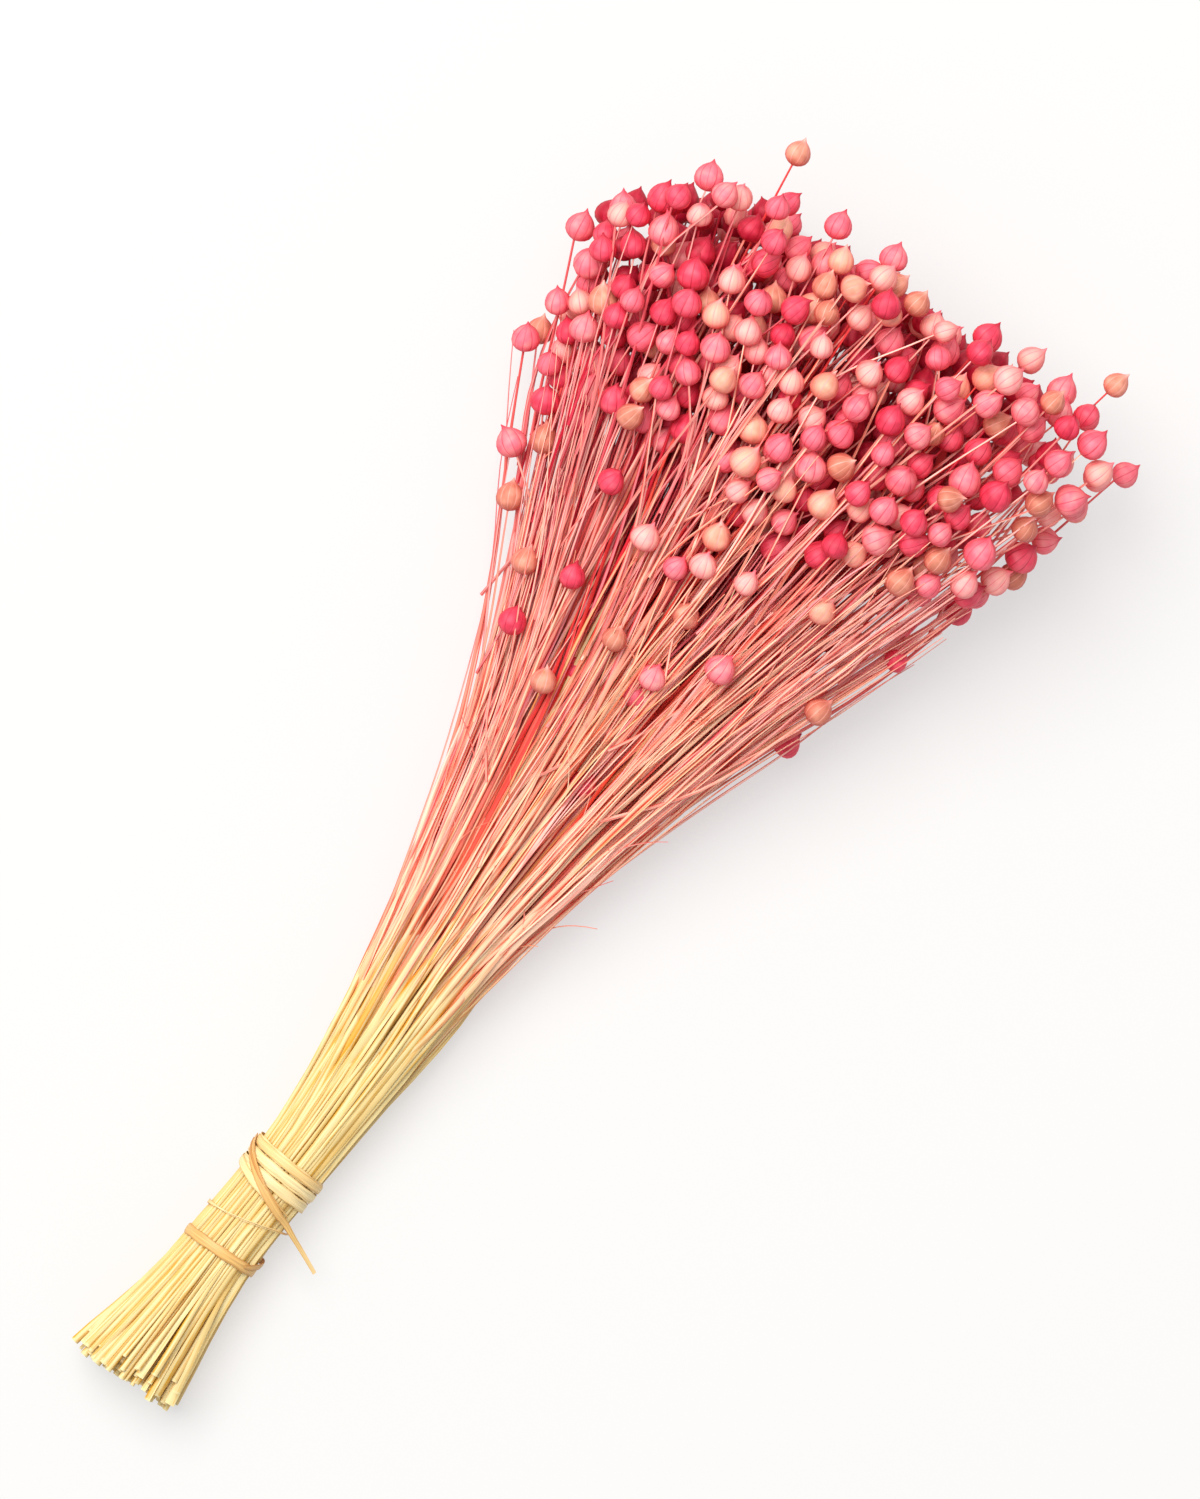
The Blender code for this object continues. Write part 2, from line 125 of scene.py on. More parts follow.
# Bolls of companion plants with a place of their own, round the head's edge and below it.
EDGE_BOLLS = (
    (292.5, 58, 0.30, TAN), (286.5, 65.5, 0.05, PINK), (302, 64, 0.30, 0.06), (311, 69, 0.20, PINK),
    (318, 77, -0.95, TAN), (327, 77, 0.20, 0.10), (368, 66, 0.35, DEEP), (375, 66, 0.10, PINK),
    (369, 57, 0.75, TAN), (368, 48, 0.70, 0.12), (377, 43, 0.65, 0.06), (374, 35, 0.90, 0.12),
    (386, 38, 0.45, PINK), (387, 30, 0.50, PINK), (389, 23, 0.45, PEACH), (378, 20, 0.85, 0.55),
    (376, 9, 0.80, 0.08), (377, -1, 0.85, PEACH), (383, -8, 0.60, DEEP), (381, -19, 0.60, DEEP),
    (377, -36, 0.50, 0.16), (368, -46, 0.45, TAN), (381, -59, 0.25, PINK), (385, -66, 0.15, PALE),
    (387, -56, 0.05, PALE), (366, -79, -0.05, 0.10), (362, -78, -0.05, PINK), (356, -73, 0.15, PALE),
    (326, -69, -0.20, PINK), (317, -55, 0.35, PINK), (292, -47, 0.40, 0.36), (283, 6, 0.97, PINK),
    (288, 0, 0.98, PALE), (274, -4, 0.80, 0.10), (254, -6, 0.98, 0.55), (293, 35, 0.90, DEEP),
    (218, -7, 0.55, DEEP),
)

# Where the crowded part of the head begins: across, and along.
CROWD_FROM = (
    (-80, 334), (-70, 326), (-54, 316), (-36, 314), (-20, 304), (0, 304), (16, 308), (36, 312), (51, 309),
    (64, 300), (82, 298),
)
# The crowded bolls' layers from the top down: how deep they lie in mm, how far back from the head's far edge
# they go, as a share of its crowded part, and how many places are tried.
LAYERS = (
    (0, 7, 1.0, 5000), (7, 15, 1.0, 3500), (15, 26, 0.95, 2600), (26, 42, 0.85, 2600), (42, 75, 0.75, 2400),
)
HEAD_TOP = 75.0 * MM  # the highest centre of a crowded boll
HEAD_DOME = 8 * MM  # how much lower it is at the head's sides
HOLLOWS, HOLLOW_DEPTH = 11 * MM, 13 * MM  # the scale of the hollows in the head's top, and how deep they go
BOLL_MIDDLE = 0.46  # where a boll is widest, as a share of its length
BOLLS_FROM = 190 * MM  # no boll is nearer to the cut ends than this
PLACES_TRIED = 4000  # for the companions, in the ties' section
STRANDS = 26  # how many strands the companions' stems gather into
LOWEST, HIGHEST = 0.02 * MM, CAD_BOX[1][2] + 2.2 * MM  # between which all forms are kept
# What a companion's boll keeps clear of: the table, the box's top (which it may pass), bolls and stalks.
OFF_TABLE, PAST_TOP, OFF_BOLLS, OFF_STALKS = 0.2 * MM, 0.6 * MM, 0.1 * MM, 0.3 * MM
WORST_CLEARANCE, GOOD_CLEARANCE = -0.9 * MM, 0.35 * MM  # of a companion's stalk from the bolls beside it
STEM_SIDES, STALK_SIDES, CURL_SIDES = 7, 5, 4
GRAIN_SPAN = 500  # a form's grain begins anywhere in so many mm
SHARP = math.radians(62)  # edges that turn more than this are shown as edges

# The seeds of the random draws. A plant adds its own number to the last two.
GROWTH, COMPANY, TIES, STRIP, FIBRE = 11, 23, 41, 43, 47
DRESS_NAMED, DRESS_COMPANION = 100, 300


def linear(colour):
    """The linear RGB of an sRGB hex colour."""
    shares = [int(colour[n : n + 2], 16) / 255 for n in (1, 3, 5)]
    return [s / 12.92 if s <= 0.04045 else ((s + 0.055) / 1.055) ** 2.4 for s in shares]


# The bundle and its plants, as the solids have them.


def smoothstep(t):
    t = min(max(t, 0.0), 1.0)
    return t * t * (3 - 2 * t)


def between(a, b, t):
    return a + (b - a) * t


def smoothed(values, low, high):
    t = np.clip((values - low) / (high - low), 0, 1)
    return t * t * (3 - 2 * t)


def fan(along):
    """How far the bundle has opened into the head, from 0 in the neck to 1."""
    share = min(max((along - NECK_TO) / (FAN_TO - NECK_TO), 0.0), 1.0)
    return between(smoothstep(share**1.45), share, EARLY_FAN)


def flare(along):
    """How far the bundle has opened towards the cut ends, from 0 in the neck to 1."""
    return max(0.0, 1 - along / NECK_FROM) ** 1.2


def half_width(along):
    return between(BUNDLE_HALF_WIDTH, HEAD_HALF_WIDTH, fan(along)) + END_FLARE * flare(along)


def half_height(along):
    return between(BUNDLE_HALF_HEIGHT, HEAD_HALF_HEIGHT, fan(along)) + 0.25 * END_FLARE * flare(along)


def lowest_centre(along):
    at_ties = STEM_RADIUS_AT_TIE + GAP + RAFFIA_THICKNESS
    at_cut_ends = 0.25 * END_FLARE * flare(along)
    at_head = BOLL_RADIUS * (1 + BOLL_SPREAD) + SPARE
    return between(at_ties, at_head, fan(along)) - min(at_cut_ends, at_ties - STEM_RADIUS_AT_CUT)


def spread(a, opened):
    """The place across, from -1 to 1, of a stem at a in the neck's disc, where the fan has opened so far."""
    inside = min(max(a, -1.0), 1.0)
    even = (math.asin(inside) + inside * math.sqrt(1 - inside * inside)) * 2 / math.pi
    return between(a, even + a - inside, SPREADING * opened)


def rise(across, squareness):
    """The height, from 0 to 1, of a section of that squareness at a place across."""
    return max(1 - min(abs(across), 1.0) ** squareness, 0.02) ** (1 / squareness)


def bundle_point(along, a, b):
    """The point at the place (a, b) of the bundle's section there."""
    opened = fan(along)
    bend = END_BEND * (1 - min(max((along - BEND_FROM) / (BEND_TO - BEND_FROM), 0.0), 1.0))
    place = spread(a, opened)
    squareness = between(2.0, TOP_SQUARENESS if b > 0 else UNDERSIDE_SQUARENESS, opened)
    height = b * rise(place, squareness) / rise(a, 2.0)
    up = lowest_centre(along) + (1 + height) * half_height(along)
    return Vector((along - ORIGIN_ALONG, bend + place * half_width(along) - ORIGIN_ACROSS, up))


def section_size(point):
    """How far out of the bundle's section a point lies: 0 in the middle and 1 at the outside."""
    along = point.x + ORIGIN_ALONG
    middle = bundle_point(along, 0, 0)
    a = abs(point.y - middle.y) / half_width(along)
    b = (point.z - middle.z) / half_height(along)
    squareness = between(2.0, TOP_SQUARENESS if b > 0 else UNDERSIDE_SQUARENESS, fan(along))
    return (a**squareness + abs(b) ** squareness) ** (1 / squareness)


def reach(across):
    """How far along the head reaches, at a place across."""
    return HEAD_REACH - 26 * MM * max(0.0, across) ** 4 - 8 * MM * max(0.0, -across) ** 4


def section_place(index, count=PLANTS):
    """Even places in a disc, as the seeds of a sunflower lie."""
    radius = math.sqrt((index + 0.5) / count)
    angle = index * math.pi * (3 - math.sqrt(5))
    return radius * math.cos(angle), radius * math.sin(angle)


class Plant:
    """One plant's place in the bundle, the lines of its stem and stalks, and how it took the dye."""

    def __init__(self, at_tie):
        self.at_tie = at_tie
        self.target = None
        self.tone = None
        self.bare = []
        self.rests = False
        self.shoots = []


def boll_rings(base, direction, radius):
    length = BOLL_LENGTH * radius
    points = [base + direction * (length * share) for share, _ in BOLL_PROFILE]
    return points, [radius * share for _, share in BOLL_PROFILE]


def leaning(direction, lean, chance):
    """The direction turned by up to lean radians, to any side."""
    side = direction.cross(Vector((0, 0, 1))).normalized()
    turned = Matrix.Rotation(chance.uniform(0, 2 * math.pi), 3, direction) @ side
    return (direction + turned * math.tan(chance.uniform(0, lean))).normalized()


def main_shoot(plant, end, wander, chance):
    """The stem of a plant that has a solid, from its cut end through the ties to its own top boll."""
    end_along, a_end, b_end = end
    stations = [chance.uniform(0, 9 * MM)] + [along for along in STATIONS if along < end_along - 25 * MM]
    points, radii = [], []
    for along in stations:
        moved = smoothstep((along - NECK_TO) / (end_along - NECK_TO))
        bow = 4 * moved * (1 - moved)
        a = between(plant.at_tie[0], a_end, moved) + bow * wander * chance.uniform(-1, 1)
        b = between(plant.at_tie[1], b_end, moved) + bow * wander * chance.uniform(-1, 1)
        points.append(bundle_point(along, a, b))
        radii.append(between(STEM_RADIUS_AT_TIE, STEM_RADIUS_AT_FORK, moved))
    radii[0] = STEM_RADIUS_AT_CUT
    radius = BOLL_RADIUS * chance.uniform(1 - BOLL_SPREAD, 1 + BOLL_SPREAD)
    centre = bundle_point(end_along, a_end, b_end)
    if plant.rests:
        centre.z = radius + GAP / 2
    direction = leaning((centre - points[-1]).normalized(), 0.30, chance)
    base = centre - direction * (0.5 * BOLL_LENGTH * radius)
    rings, ring_radii = boll_rings(base, direction, radius)
    return points + [base] + rings, radii + [STALK_RADIUS] + ring_radii


def point_on(points, x):
    """The point of a stem at x, and the stem's direction there."""
    for p, q in zip(points, points[1:]):
        if q.x >= x:
            return p.lerp(q, (x - p.x) / (q.x - p.x)), (q - p).normalized()
    raise ValueError("the stem does not reach that far")


def side_shoot(stem, chance):
    """A branch that leaves the stem's upper part, bends back along it and ends in a boll."""
    points, _ = stem
    tip = points[-1].x
    length = chance.uniform(30, 62) * MM
    root, forward = point_on(points, tip - length - chance.uniform(2, 32) * MM)
    across = forward.cross(Vector((0, 0, 1))).normalized()
    side = Matrix.Rotation(chance.uniform(0, 2 * math.pi), 3, forward) @ across
    spread = length * chance.uniform(0.20, 0.42)
    middle = root + forward * (0.42 * length) + side * (0.62 * spread)
    base = root + forward * length + side * spread
    radius = BOLL_RADIUS * chance.uniform(1 - BOLL_SPREAD, 1 + BOLL_SPREAD)
    direction = leaning((base - middle).normalized(), 0.35, chance)
    rings, ring_radii = boll_rings(base, direction, radius)
    stalk_radii = [STALK_RADIUS * 1.15, STALK_RADIUS * 1.05, STALK_RADIUS]
    return [root, middle, base] + rings, stalk_radii + ring_radii


def beads(shoot, spacing=1.5 * MM):
    """The shoot as a row of balls (x, y, z, radius), close enough together to stand for it."""
    points, radii = shoot
    found = []
    for p, q, r, s in zip(points, points[1:], radii, radii[1:]):
        steps = max(1, math.ceil((q - p).length / spacing))
        found += [(*p.lerp(q, n / steps), between(r, s, n / steps)) for n in range(steps)]
    return np.array(found)


def clear_of(placed, shoot):
    """Whether the shoot keeps its distance from everything placed so far, and from the table."""
    balls = beads(shoot)
    if (balls[:, 2] - balls[:, 3]).min() < 0.0:
        return False
    reach_out = 2 * BOLL_RADIUS * (1 + BOLL_SPREAD) + GAP + SPARE
    low, high = balls[:, :3].min(0) - reach_out, balls[:, :3].max(0) + reach_out
    for others in placed:
        near = others[((others[:, :3] > low) & (others[:, :3] < high)).all(1)]
        if len(near) == 0:
            continue
        apart = np.linalg.norm(balls[:, None, :3] - near[None, :, :3], axis=2)
        if (apart - balls[:, None, 3] - near[None, :, 3]).min() < GAP + SPARE:
            return False
    return True


def in_section(along, across, height):
    """The (a, b) of a boll at a place across, and at a height from -1 to 1 of the section there."""
    low, high = -1.3, 1.3
    for _ in range(30):
        a = 0.5 * (low + high)
        if spread(a, fan(along)) * half_width(along) < across:
            low = a
        else:
            high = a
    return a, height * rise(a, 2.0)


def share_out_targets(plants):
    """Gives each boll with a set place to the plant whose own place in the ties is nearest to it."""
    leading = sorted(LEADING_BOLLS, key=lambda place: -abs(place[1]))
    resting = [(along, across, -1.0, DEEP) for along, across in RESTING_BOLLS]
    for along, across, height, tone in leading + resting + list(LOW_BOLLS):
        a, b = in_section(along * MM, across * MM, height)
        free = [plant for plant in plants if plant.target is None]
        nearest = min(free, key=lambda p: (p.at_tie[0] - a) ** 2 + (p.at_tie[1] - b) ** 2)
        nearest.target = (along * MM, a, b)
        nearest.tone = tone
        nearest.rests = height == -1.0


def drawn_end(plant, wider, chance):
    """Where a plant's top boll is tried: near its target, or near the plant's own place in the ties."""
    if plant.target:
        end_along, a, b = plant.target
        return end_along, a, b + 0.05 * (wider - 1) * chance.uniform(-1, 1)
    a = plant.at_tie[0] * 0.97 + 0.07 * wider * chance.uniform(-1, 1)
    b = plant.at_tie[1] * 0.97 + 0.07 * wider * chance.uniform(-1, 1)
    size = max(1.0, math.hypot(a, b))
    return reach(spread(a / size, 1.0)) - 52 * MM * chance.random() ** 1.3, a / size, b / size


def grow_stem(plant, placed, chance):
    for attempt in range(600):
        wider = 1 + attempt / 60
        shoot = main_shoot(plant, drawn_end(plant, wider, chance), 0.02 * wider, chance)
        if clear_of(placed, shoot):
            plant.shoots = [shoot]
            placed.append(beads(shoot))
            return
    raise RuntimeError("no room was found for a plant")


def grow_branch(plant, placed, chance):
    own = beads(plant.shoots[0])
    others = [balls for balls in placed if not np.array_equal(balls, own)]
    for _ in range(80):
        shoot = side_shoot(plant.shoots[0], chance)
        points, radii = shoot
        tip = points[-1]
        a = (tip.y + ORIGIN_ACROSS) / HEAD_HALF_WIDTH
        if section_size(tip) > 1.04 or tip.x + ORIGIN_ALONG > reach(a) + 5 * MM:
            continue
        if clear_of(others, shoot) and clear_of([own], (points[2:], radii[2:])):
            plant.shoots.append(shoot)
            placed.append(beads(shoot))
            return


@functools.cache
def named_plants():
    """The fifty plants that have solids, grown as the solids are."""
    chance = random.Random(GROWTH)
    plants = [Plant(section_place(index)) for index in range(PLANTS)]
    share_out_targets(plants)
    placed = []
    for plant in sorted(plants, key=lambda plant: plant.target is None):
        grow_stem(plant, placed, chance)
    for index, plant in enumerate(plants):
        for _ in range(2 if index % 8 == 0 else 1):
            grow_branch(plant, placed, chance)
    for plant in plants:
        plant.shoots = [without_solid_boll(shoot) for shoot in plant.shoots]
    return plants


class Shoot:
    """A stem or stalk as an even line, with the boll that it ends in."""

    def __init__(self, points, base, direction, radius, depth=0.0):
        self.points = [np.array(point) for point in points]
        self.base = np.array(base)
        self.direction = np.array(direction) / np.linalg.norm(direction)
        self.radius = radius
        self.depth = depth

    def centre(self):
        return self.base + self.direction * (BOLL_MIDDLE * BOLL_LENGTH * self.radius)

    def line(self, spacing):
        return smooth_line(self.points + [self.base], spacing)

    def among_bolls(self):
        """Points along the part of the shoot that can meet bolls."""
        line = self.line(2.5 * MM)
        return line[line[:, 0] + ORIGIN_ALONG > BOLLS_FROM]


def without_solid_boll(shoot):
    """A shoot of a solid, with its boll's rings taken for one boll."""
    points, radii = shoot
    rings = len(BOLL_PROFILE)
    base = points[-rings - 1]
    return Shoot(points[: -rings - 1], base, points[-1] - base, radii[1 - rings])


def smooth_line(points, spacing):
    """Points about every so often along an even curve through the given ones."""
    knots = np.array(points)
    steps = np.linalg.norm(np.diff(knots, axis=0), axis=1)
    at = np.concatenate(([0.0], np.cumsum(steps)))
    slopes = np.gradient(knots, at, axis=0)
    found = []
    for n, step in enumerate(steps):
        t = np.linspace(0, 1, max(2, round(step / spacing) + 1))[:-1, None]
        start = (1 + 2 * t) * (1 - t) ** 2 * knots[n] + t * (1 - t) ** 2 * step * slopes[n]
        end = t**2 * (3 - 2 * t) * knots[n + 1] - t**2 * (1 - t) * step * slopes[n + 1]
        found.append(start + end)
    return np.concatenate(found + [knots[-1:]])


# The companion plants, which fill the bunch up.


class Room:
    """What takes up room in the head: its bolls, and its stalks as rows of points."""

    def __init__(self):
        self.bolls = np.empty((0, 4))
        self.stalks = np.empty((0, 3))

    def boll_fits(self, centre, radius):
        if centre[2] < radius + OFF_TABLE or centre[2] + radius > CAD_BOX[1][2] + PAST_TOP:
            return False
        apart = np.linalg.norm(self.bolls[:, :3] - centre, axis=1) - self.bolls[:, 3]
        if apart.min() < radius + OFF_BOLLS:
            return False
        return np.linalg.norm(self.stalks - centre, axis=1).min() > radius + OFF_STALKS

    def clearance(self, line, own):
        """How far a stalk stays away from every boll but its own."""
        near = np.abs(self.bolls[:, 1] - line[:, 1].mean()) < np.ptp(line[:, 1]) + 8 * MM
        near[own] = False
        others = self.bolls[near]
        if len(line) == 0 or len(others) == 0:
            return 1.0
        return (np.linalg.norm(line[:, None] - others[None, :, :3], axis=2) - others[None, :, 3]).min()

    def take_boll(self, centre, radius):
        self.bolls = np.concatenate((self.bolls, [[*centre, radius]]))
        return len(self.bolls) - 1

    def take_stalk(self, line):
        self.stalks = np.concatenate((self.stalks, line))


class Target:
    """A boll's place, before a plant has grown to it."""

    def __init__(self, place, radius, tone, own, depth=0.0):
        self.place = place
        self.depth = depth
        self.radius = radius
        self.tone = tone
        self.own = own
        self.centre = bundle_point(*place)


def companion_places(count):
    """Places in the ties' section, each as far as it can be from the stems that are already there."""
    scale = np.array((BUNDLE_HALF_WIDTH, BUNDLE_HALF_HEIGHT))
    tried = np.array([section_place(n, PLACES_TRIED) for n in range(PLACES_TRIED)]) * 1.05
    taken = np.array([section_place(n) for n in range(PLANTS)])
    nearest = np.linalg.norm((tried[:, None] - taken[None]) * scale, axis=2).min(1)
    places = []
    for _ in range(count):
        best = int(nearest.argmax())
        places.append(tuple(tried[best]))
        nearest = np.minimum(nearest, np.linalg.norm((tried - tried[best]) * scale, axis=1))
    return places


def below_top(along, place, depth):
    """The (a, b) of a point so far below the head's top, at a place across from -1 to 1."""
    opened = fan(along)
    up = lowest_centre(along) + (1 + rise(place, between(2.0, TOP_SQUARENESS, opened))) * half_height(along)
    hollow = math.sin(along / HOLLOWS + 5 * place) * math.cos(place * half_width(along) / HOLLOWS + 1.0)
    up = min(up, HEAD_TOP - HEAD_DOME * place**2) - depth - HOLLOW_DEPTH * max(hollow, 0.0)
    height = (up - lowest_centre(along)) / half_height(along) - 1
    squareness = between(2.0, TOP_SQUARENESS if height > 0 else UNDERSIDE_SQUARENESS, opened)
    height = min(max(height / rise(place, squareness), -1.0), 1.0)
    return in_section(along, place * half_width(along), height)


def crowd(room, chance):
    """Places for the crowded bolls of the head, in layers from its top down."""
    begins = np.array(CROWD_FROM) * MM
    targets = []
    for shallow, deep, back, tries in LAYERS:
        for _ in range(tries):
            place = chance.uniform(-1 if shallow < 7 else -0.78, 1) * (1.0 if shallow < 20 else 0.82)
            far = reach(place)
            along = chance.uniform(296 * MM, far)
            begin = between(far, np.interp(place * half_width(along), begins[:, 0], begins[:, 1]), back)
            if along < begin:
                continue
            depth = chance.uniform(shallow, deep) * MM
            a, b = below_top(along, place, depth)
            radius = BOLL_RADIUS * chance.uniform(0.90, 1.20 if shallow == 0 else 1.14)
            centre = bundle_point(along, a, b)
            if room.boll_fits(centre, radius):
                own = room.take_boll(centre, radius)
                targets.append(Target((along, a, b), radius, None, own, depth))
    return targets


def strand_pull(along):
    """How strongly stems gather into strands there, from 0 to 1."""
    return smoothstep((along - 92 * MM) / (80 * MM)) * (1 - smoothstep((along - 225 * MM) / (90 * MM)))


def grown_boll(target, towards, lean, chance):
    """The base and the direction of a boll at its target, where its stalk comes that way."""
    direction = leaning(towards.normalized(), lean, chance)
    return target.centre - direction * (BOLL_MIDDLE * BOLL_LENGTH * target.radius), direction


def companion_stem(plant, target, strands, chance):
    """A companion's stem. Part of the way it is drawn to the nearest strand of the bundle."""
    end_along, a_end, b_end = target.place
    strand = min(strands, key=lambda place: math.hypot(place[0] - a_end, place[1] - b_end))
    pull = chance.uniform(0.3, 0.62)
    stations = [chance.uniform(0, 9 * MM), NECK_FROM, NECK_TO]
    stations += [along for along in np.arange(118, 400, 34) * MM if along < end_along - 25 * MM]
    points = []
    for along in stations:
        moved = smoothstep((along - NECK_TO) / (end_along - NECK_TO))
        bow = 4 * moved * (1 - moved)
        drawn = pull * strand_pull(along)
        splay = chance.choice((1.0, 0.92, 0.85, 1.22)) if along < NECK_FROM else 1.0
        a = splay * between(plant.at_tie[0], a_end, moved) + 0.03 * bow * chance.uniform(-1, 1)
        b = splay * between(plant.at_tie[1], b_end, moved) + 0.03 * bow * chance.uniform(-1, 1)
        points.append(bundle_point(along, between(a, strand[0], drawn), between(b, strand[1], drawn)))
    base, direction = grown_boll(target, target.centre - points[-1], 0.4, chance)
    return Shoot(points, base, direction, target.radius, target.depth)


def leaving(line, row):
    """The point of a stem where a shoot leaves it, and the direction in which it does."""
    return Vector(line[row]), Vector(line[row + 1] - line[row]).normalized()


def sprung(root, forward, end, uneven, chance):
    """The middle point of a thin shoot, which leaves its stem forwards and then turns to its end."""
    middle = root.lerp(end, 0.45).lerp(root + forward * (0.45 * (end - root).length), 0.5)
    return middle + Vector([chance.uniform(-uneven, uneven) * MM for _ in range(3)])


def companion_stalk(stem, target, chance):
    """A thin stalk that leaves a stem below the head and ends in a boll of its own."""
    line = stem.line(6 * MM)
    length = chance.choice((chance.uniform(26, 70), chance.uniform(70, 150), chance.uniform(90, 165))) * MM
    row = int(np.abs(line[:, 0] - (target.centre.x - length)).argmin())
    row = min(row, len(line) - 3)
    root, forward = leaving(line, row)
    if (target.centre - root).angle(forward) > math.radians(24):
        return None
    middle = sprung(root, forward, target.centre, 2.5, chance)
    base, direction = grown_boll(target, target.centre - middle, 0.5, chance)
    return Shoot([root, middle], base, direction, target.radius, target.depth)


def bare_stem(plant, chance):
    """The line of a stem that lies low in the bunch and has lost its boll."""
    a, b = plant.at_tie
    low = chance.uniform(-0.95, 0.1)
    ends = chance.uniform(295, 340) * MM
    points = []
    for along in (chance.uniform(0, 9) * MM, NECK_FROM, NECK_TO, 130 * MM, 180 * MM, 235 * MM, ends):
        moved = smoothstep((along - NECK_TO) / (150 * MM))
        wide = math.sqrt(max(1 - between(b, low, moved) ** 2, 0.1)) if moved < 1 else 1
        points.append(bundle_point(along, max(min(a, wide), -wide), between(b, low, moved)))
    return smooth_line(points, 10 * MM)


def bare_shoot(stem, chance):
    """The line of a thin shoot that leaves a stem below the head and has lost its boll."""
    line = stem.line(6 * MM)
    alongs = line[:, 0] + ORIGIN_ALONG
    row = min(int(np.abs(alongs - chance.uniform(130, 235) * MM).argmin()), len(line) - 4)
    root, forward = leaving(line, row)
    end = Vector(line[int(np.abs(alongs - chance.uniform(260, 345) * MM).argmin())])
    end += Vector((0, chance.uniform(-10, 10) * MM, chance.uniform(-12, 6) * MM))
    end.z = max(end.z, 2 * MM)
    return smooth_line([root, sprung(root, forward, end, 3, chance), end], 9 * MM)


def clearest(shoots, room, own):
    """The first of the shoots that stays clear of the other bolls, or else the one that comes nearest to
    that. It is none where each of them runs into a boll."""
    best, found = WORST_CLEARANCE, None
    for shoot in shoots:
        if shoot is None:
            continue
        clear = room.clearance(shoot.among_bolls(), own)
        if clear > best:
            best, found = clear, shoot
        if clear > GOOD_CLEARANCE:
            break
    return found


def nearness(place, target):
    return (place[0] - target.place[1]) ** 2 + (place[1] - target.place[2]) ** 2


@functools.cache
def companion_plants(count):
    """The companion plants, grown between the named ones. A boll that no clear stalk reaches isn't grown."""
    chance = random.Random(COMPANY)
    room = Room()
    for plant in named_plants():
        for shoot in plant.shoots:
            room.take_boll(shoot.centre(), shoot.radius)
            room.take_stalk(shoot.among_bolls())
    targets = []
    for along, across, height, tone in EDGE_BOLLS:
        radius = BOLL_RADIUS * chance.uniform(0.86, 1.10)
        place = (along * MM, *in_section(along * MM, across * MM, height))
        targets.append(Target(place, radius, tone, room.take_boll(bundle_point(*place), radius)))
    targets += crowd(room, chance)
    plants = [Plant(place) for place in companion_places(count)]
    strands = [section_place(n, STRANDS) for n in range(STRANDS)]
    waiting = []
    free = list(plants)
    for target in targets:
        near = sorted(free, key=lambda plant: nearness(plant.at_tie, target))[:3]
        if not near or nearness(near[0].at_tie, target) > 0.02:
            waiting.append(target)
            continue
        tried = (companion_stem(near[0], target, strands, chance) for _ in range(16))
        stem = clearest(tried, room, target.own)
        if stem is None:
            waiting.append(target)
            continue
        near[0].shoots = [stem]
        near[0].target = target.place
        near[0].tone = target.tone
        free.remove(near[0])
    grown = [plant for plant in plants if plant.shoots]
    for target in waiting:
        near = sorted(grown, key=lambda plant: nearness(plant.target[1:], target))[:14]
        tried = (companion_stalk(chance.choice(near).shoots[0], target, chance) for _ in range(48))
        stalk = clearest(tried, room, target.own)
        if stalk is not None:
            bearer = min(near, key=lambda plant: np.linalg.norm(plant.shoots[0].base - stalk.points[0]))
            bearer.shoots.append(stalk)
    for plant in grown:
        plant.bare = [bare_shoot(plant.shoots[0], chance) for _ in range(chance.choice((2, 3, 4, 5)))]
    for plant in free:
        plant.bare = [bare_stem(plant, chance)]
    return grown + free


# How plants took the dye.


def paleness(at_tie):
    """From 0 to 1. Neighbours in the bundle took the dye alike, so pale and deep strands lie side by side."""
    a, b = at_tie
    return smoothstep(0.5 + 0.8 * math.sin(17 * a + 5 * b + 1))


def stem_dye(plant, along, chance):
    """How a stem took the dye along its length. Pale strands lie on top of the middle of the bundle, and its
    +Y side is the pinkest. Stems in its depth get more dye, most of all in the head, which paints the shade
    within the bunch."""
    a, b = plant.at_tie
    pale = paleness(plant.at_tie)
    in_head = 0.32
    # Painted shade: stems deep in the bundle get more dye, and most of all in the head.
    if -0.45 < a < 0.8 and b < 0.35:
        full, most = chance.uniform(150, 230), chance.uniform(0.62, 0.88)
        in_head = 1.0 if b < 0.1 else 0.6
    elif a > 0.45:
        full, most = chance.uniform(200, 300), chance.uniform(0.50, 0.72)
    elif a > -0.10:
        full, most = chance.uniform(320, 450), chance.uniform(0.10, 0.22) + 0.30 * (1 - pale)
    else:
        full, most = chance.uniform(280, 400), chance.uniform(0.14, 0.30) + 0.30 * (1 - pale)
    if chance.random() < 0.2:
        full, most = chance.uniform(180, 340), chance.uniform(0.50, 0.75)
    if plant.shoots and plant.shoots[0].base[0] + ORIGIN_ALONG < 300 * MM:
        most *= 0.5
    first = chance.uniform(0.20, 0.34) - 0.10 * pale
    dye = first * smoothed(along, chance.uniform(100, 132) * MM, chance.uniform(160, 220) * MM)
    dye = dye + (most - first) * smoothed(along, 140 * MM, full * MM)
    return dye + (1 - most) * in_head * smoothed(along, 240 * MM, 320 * MM)


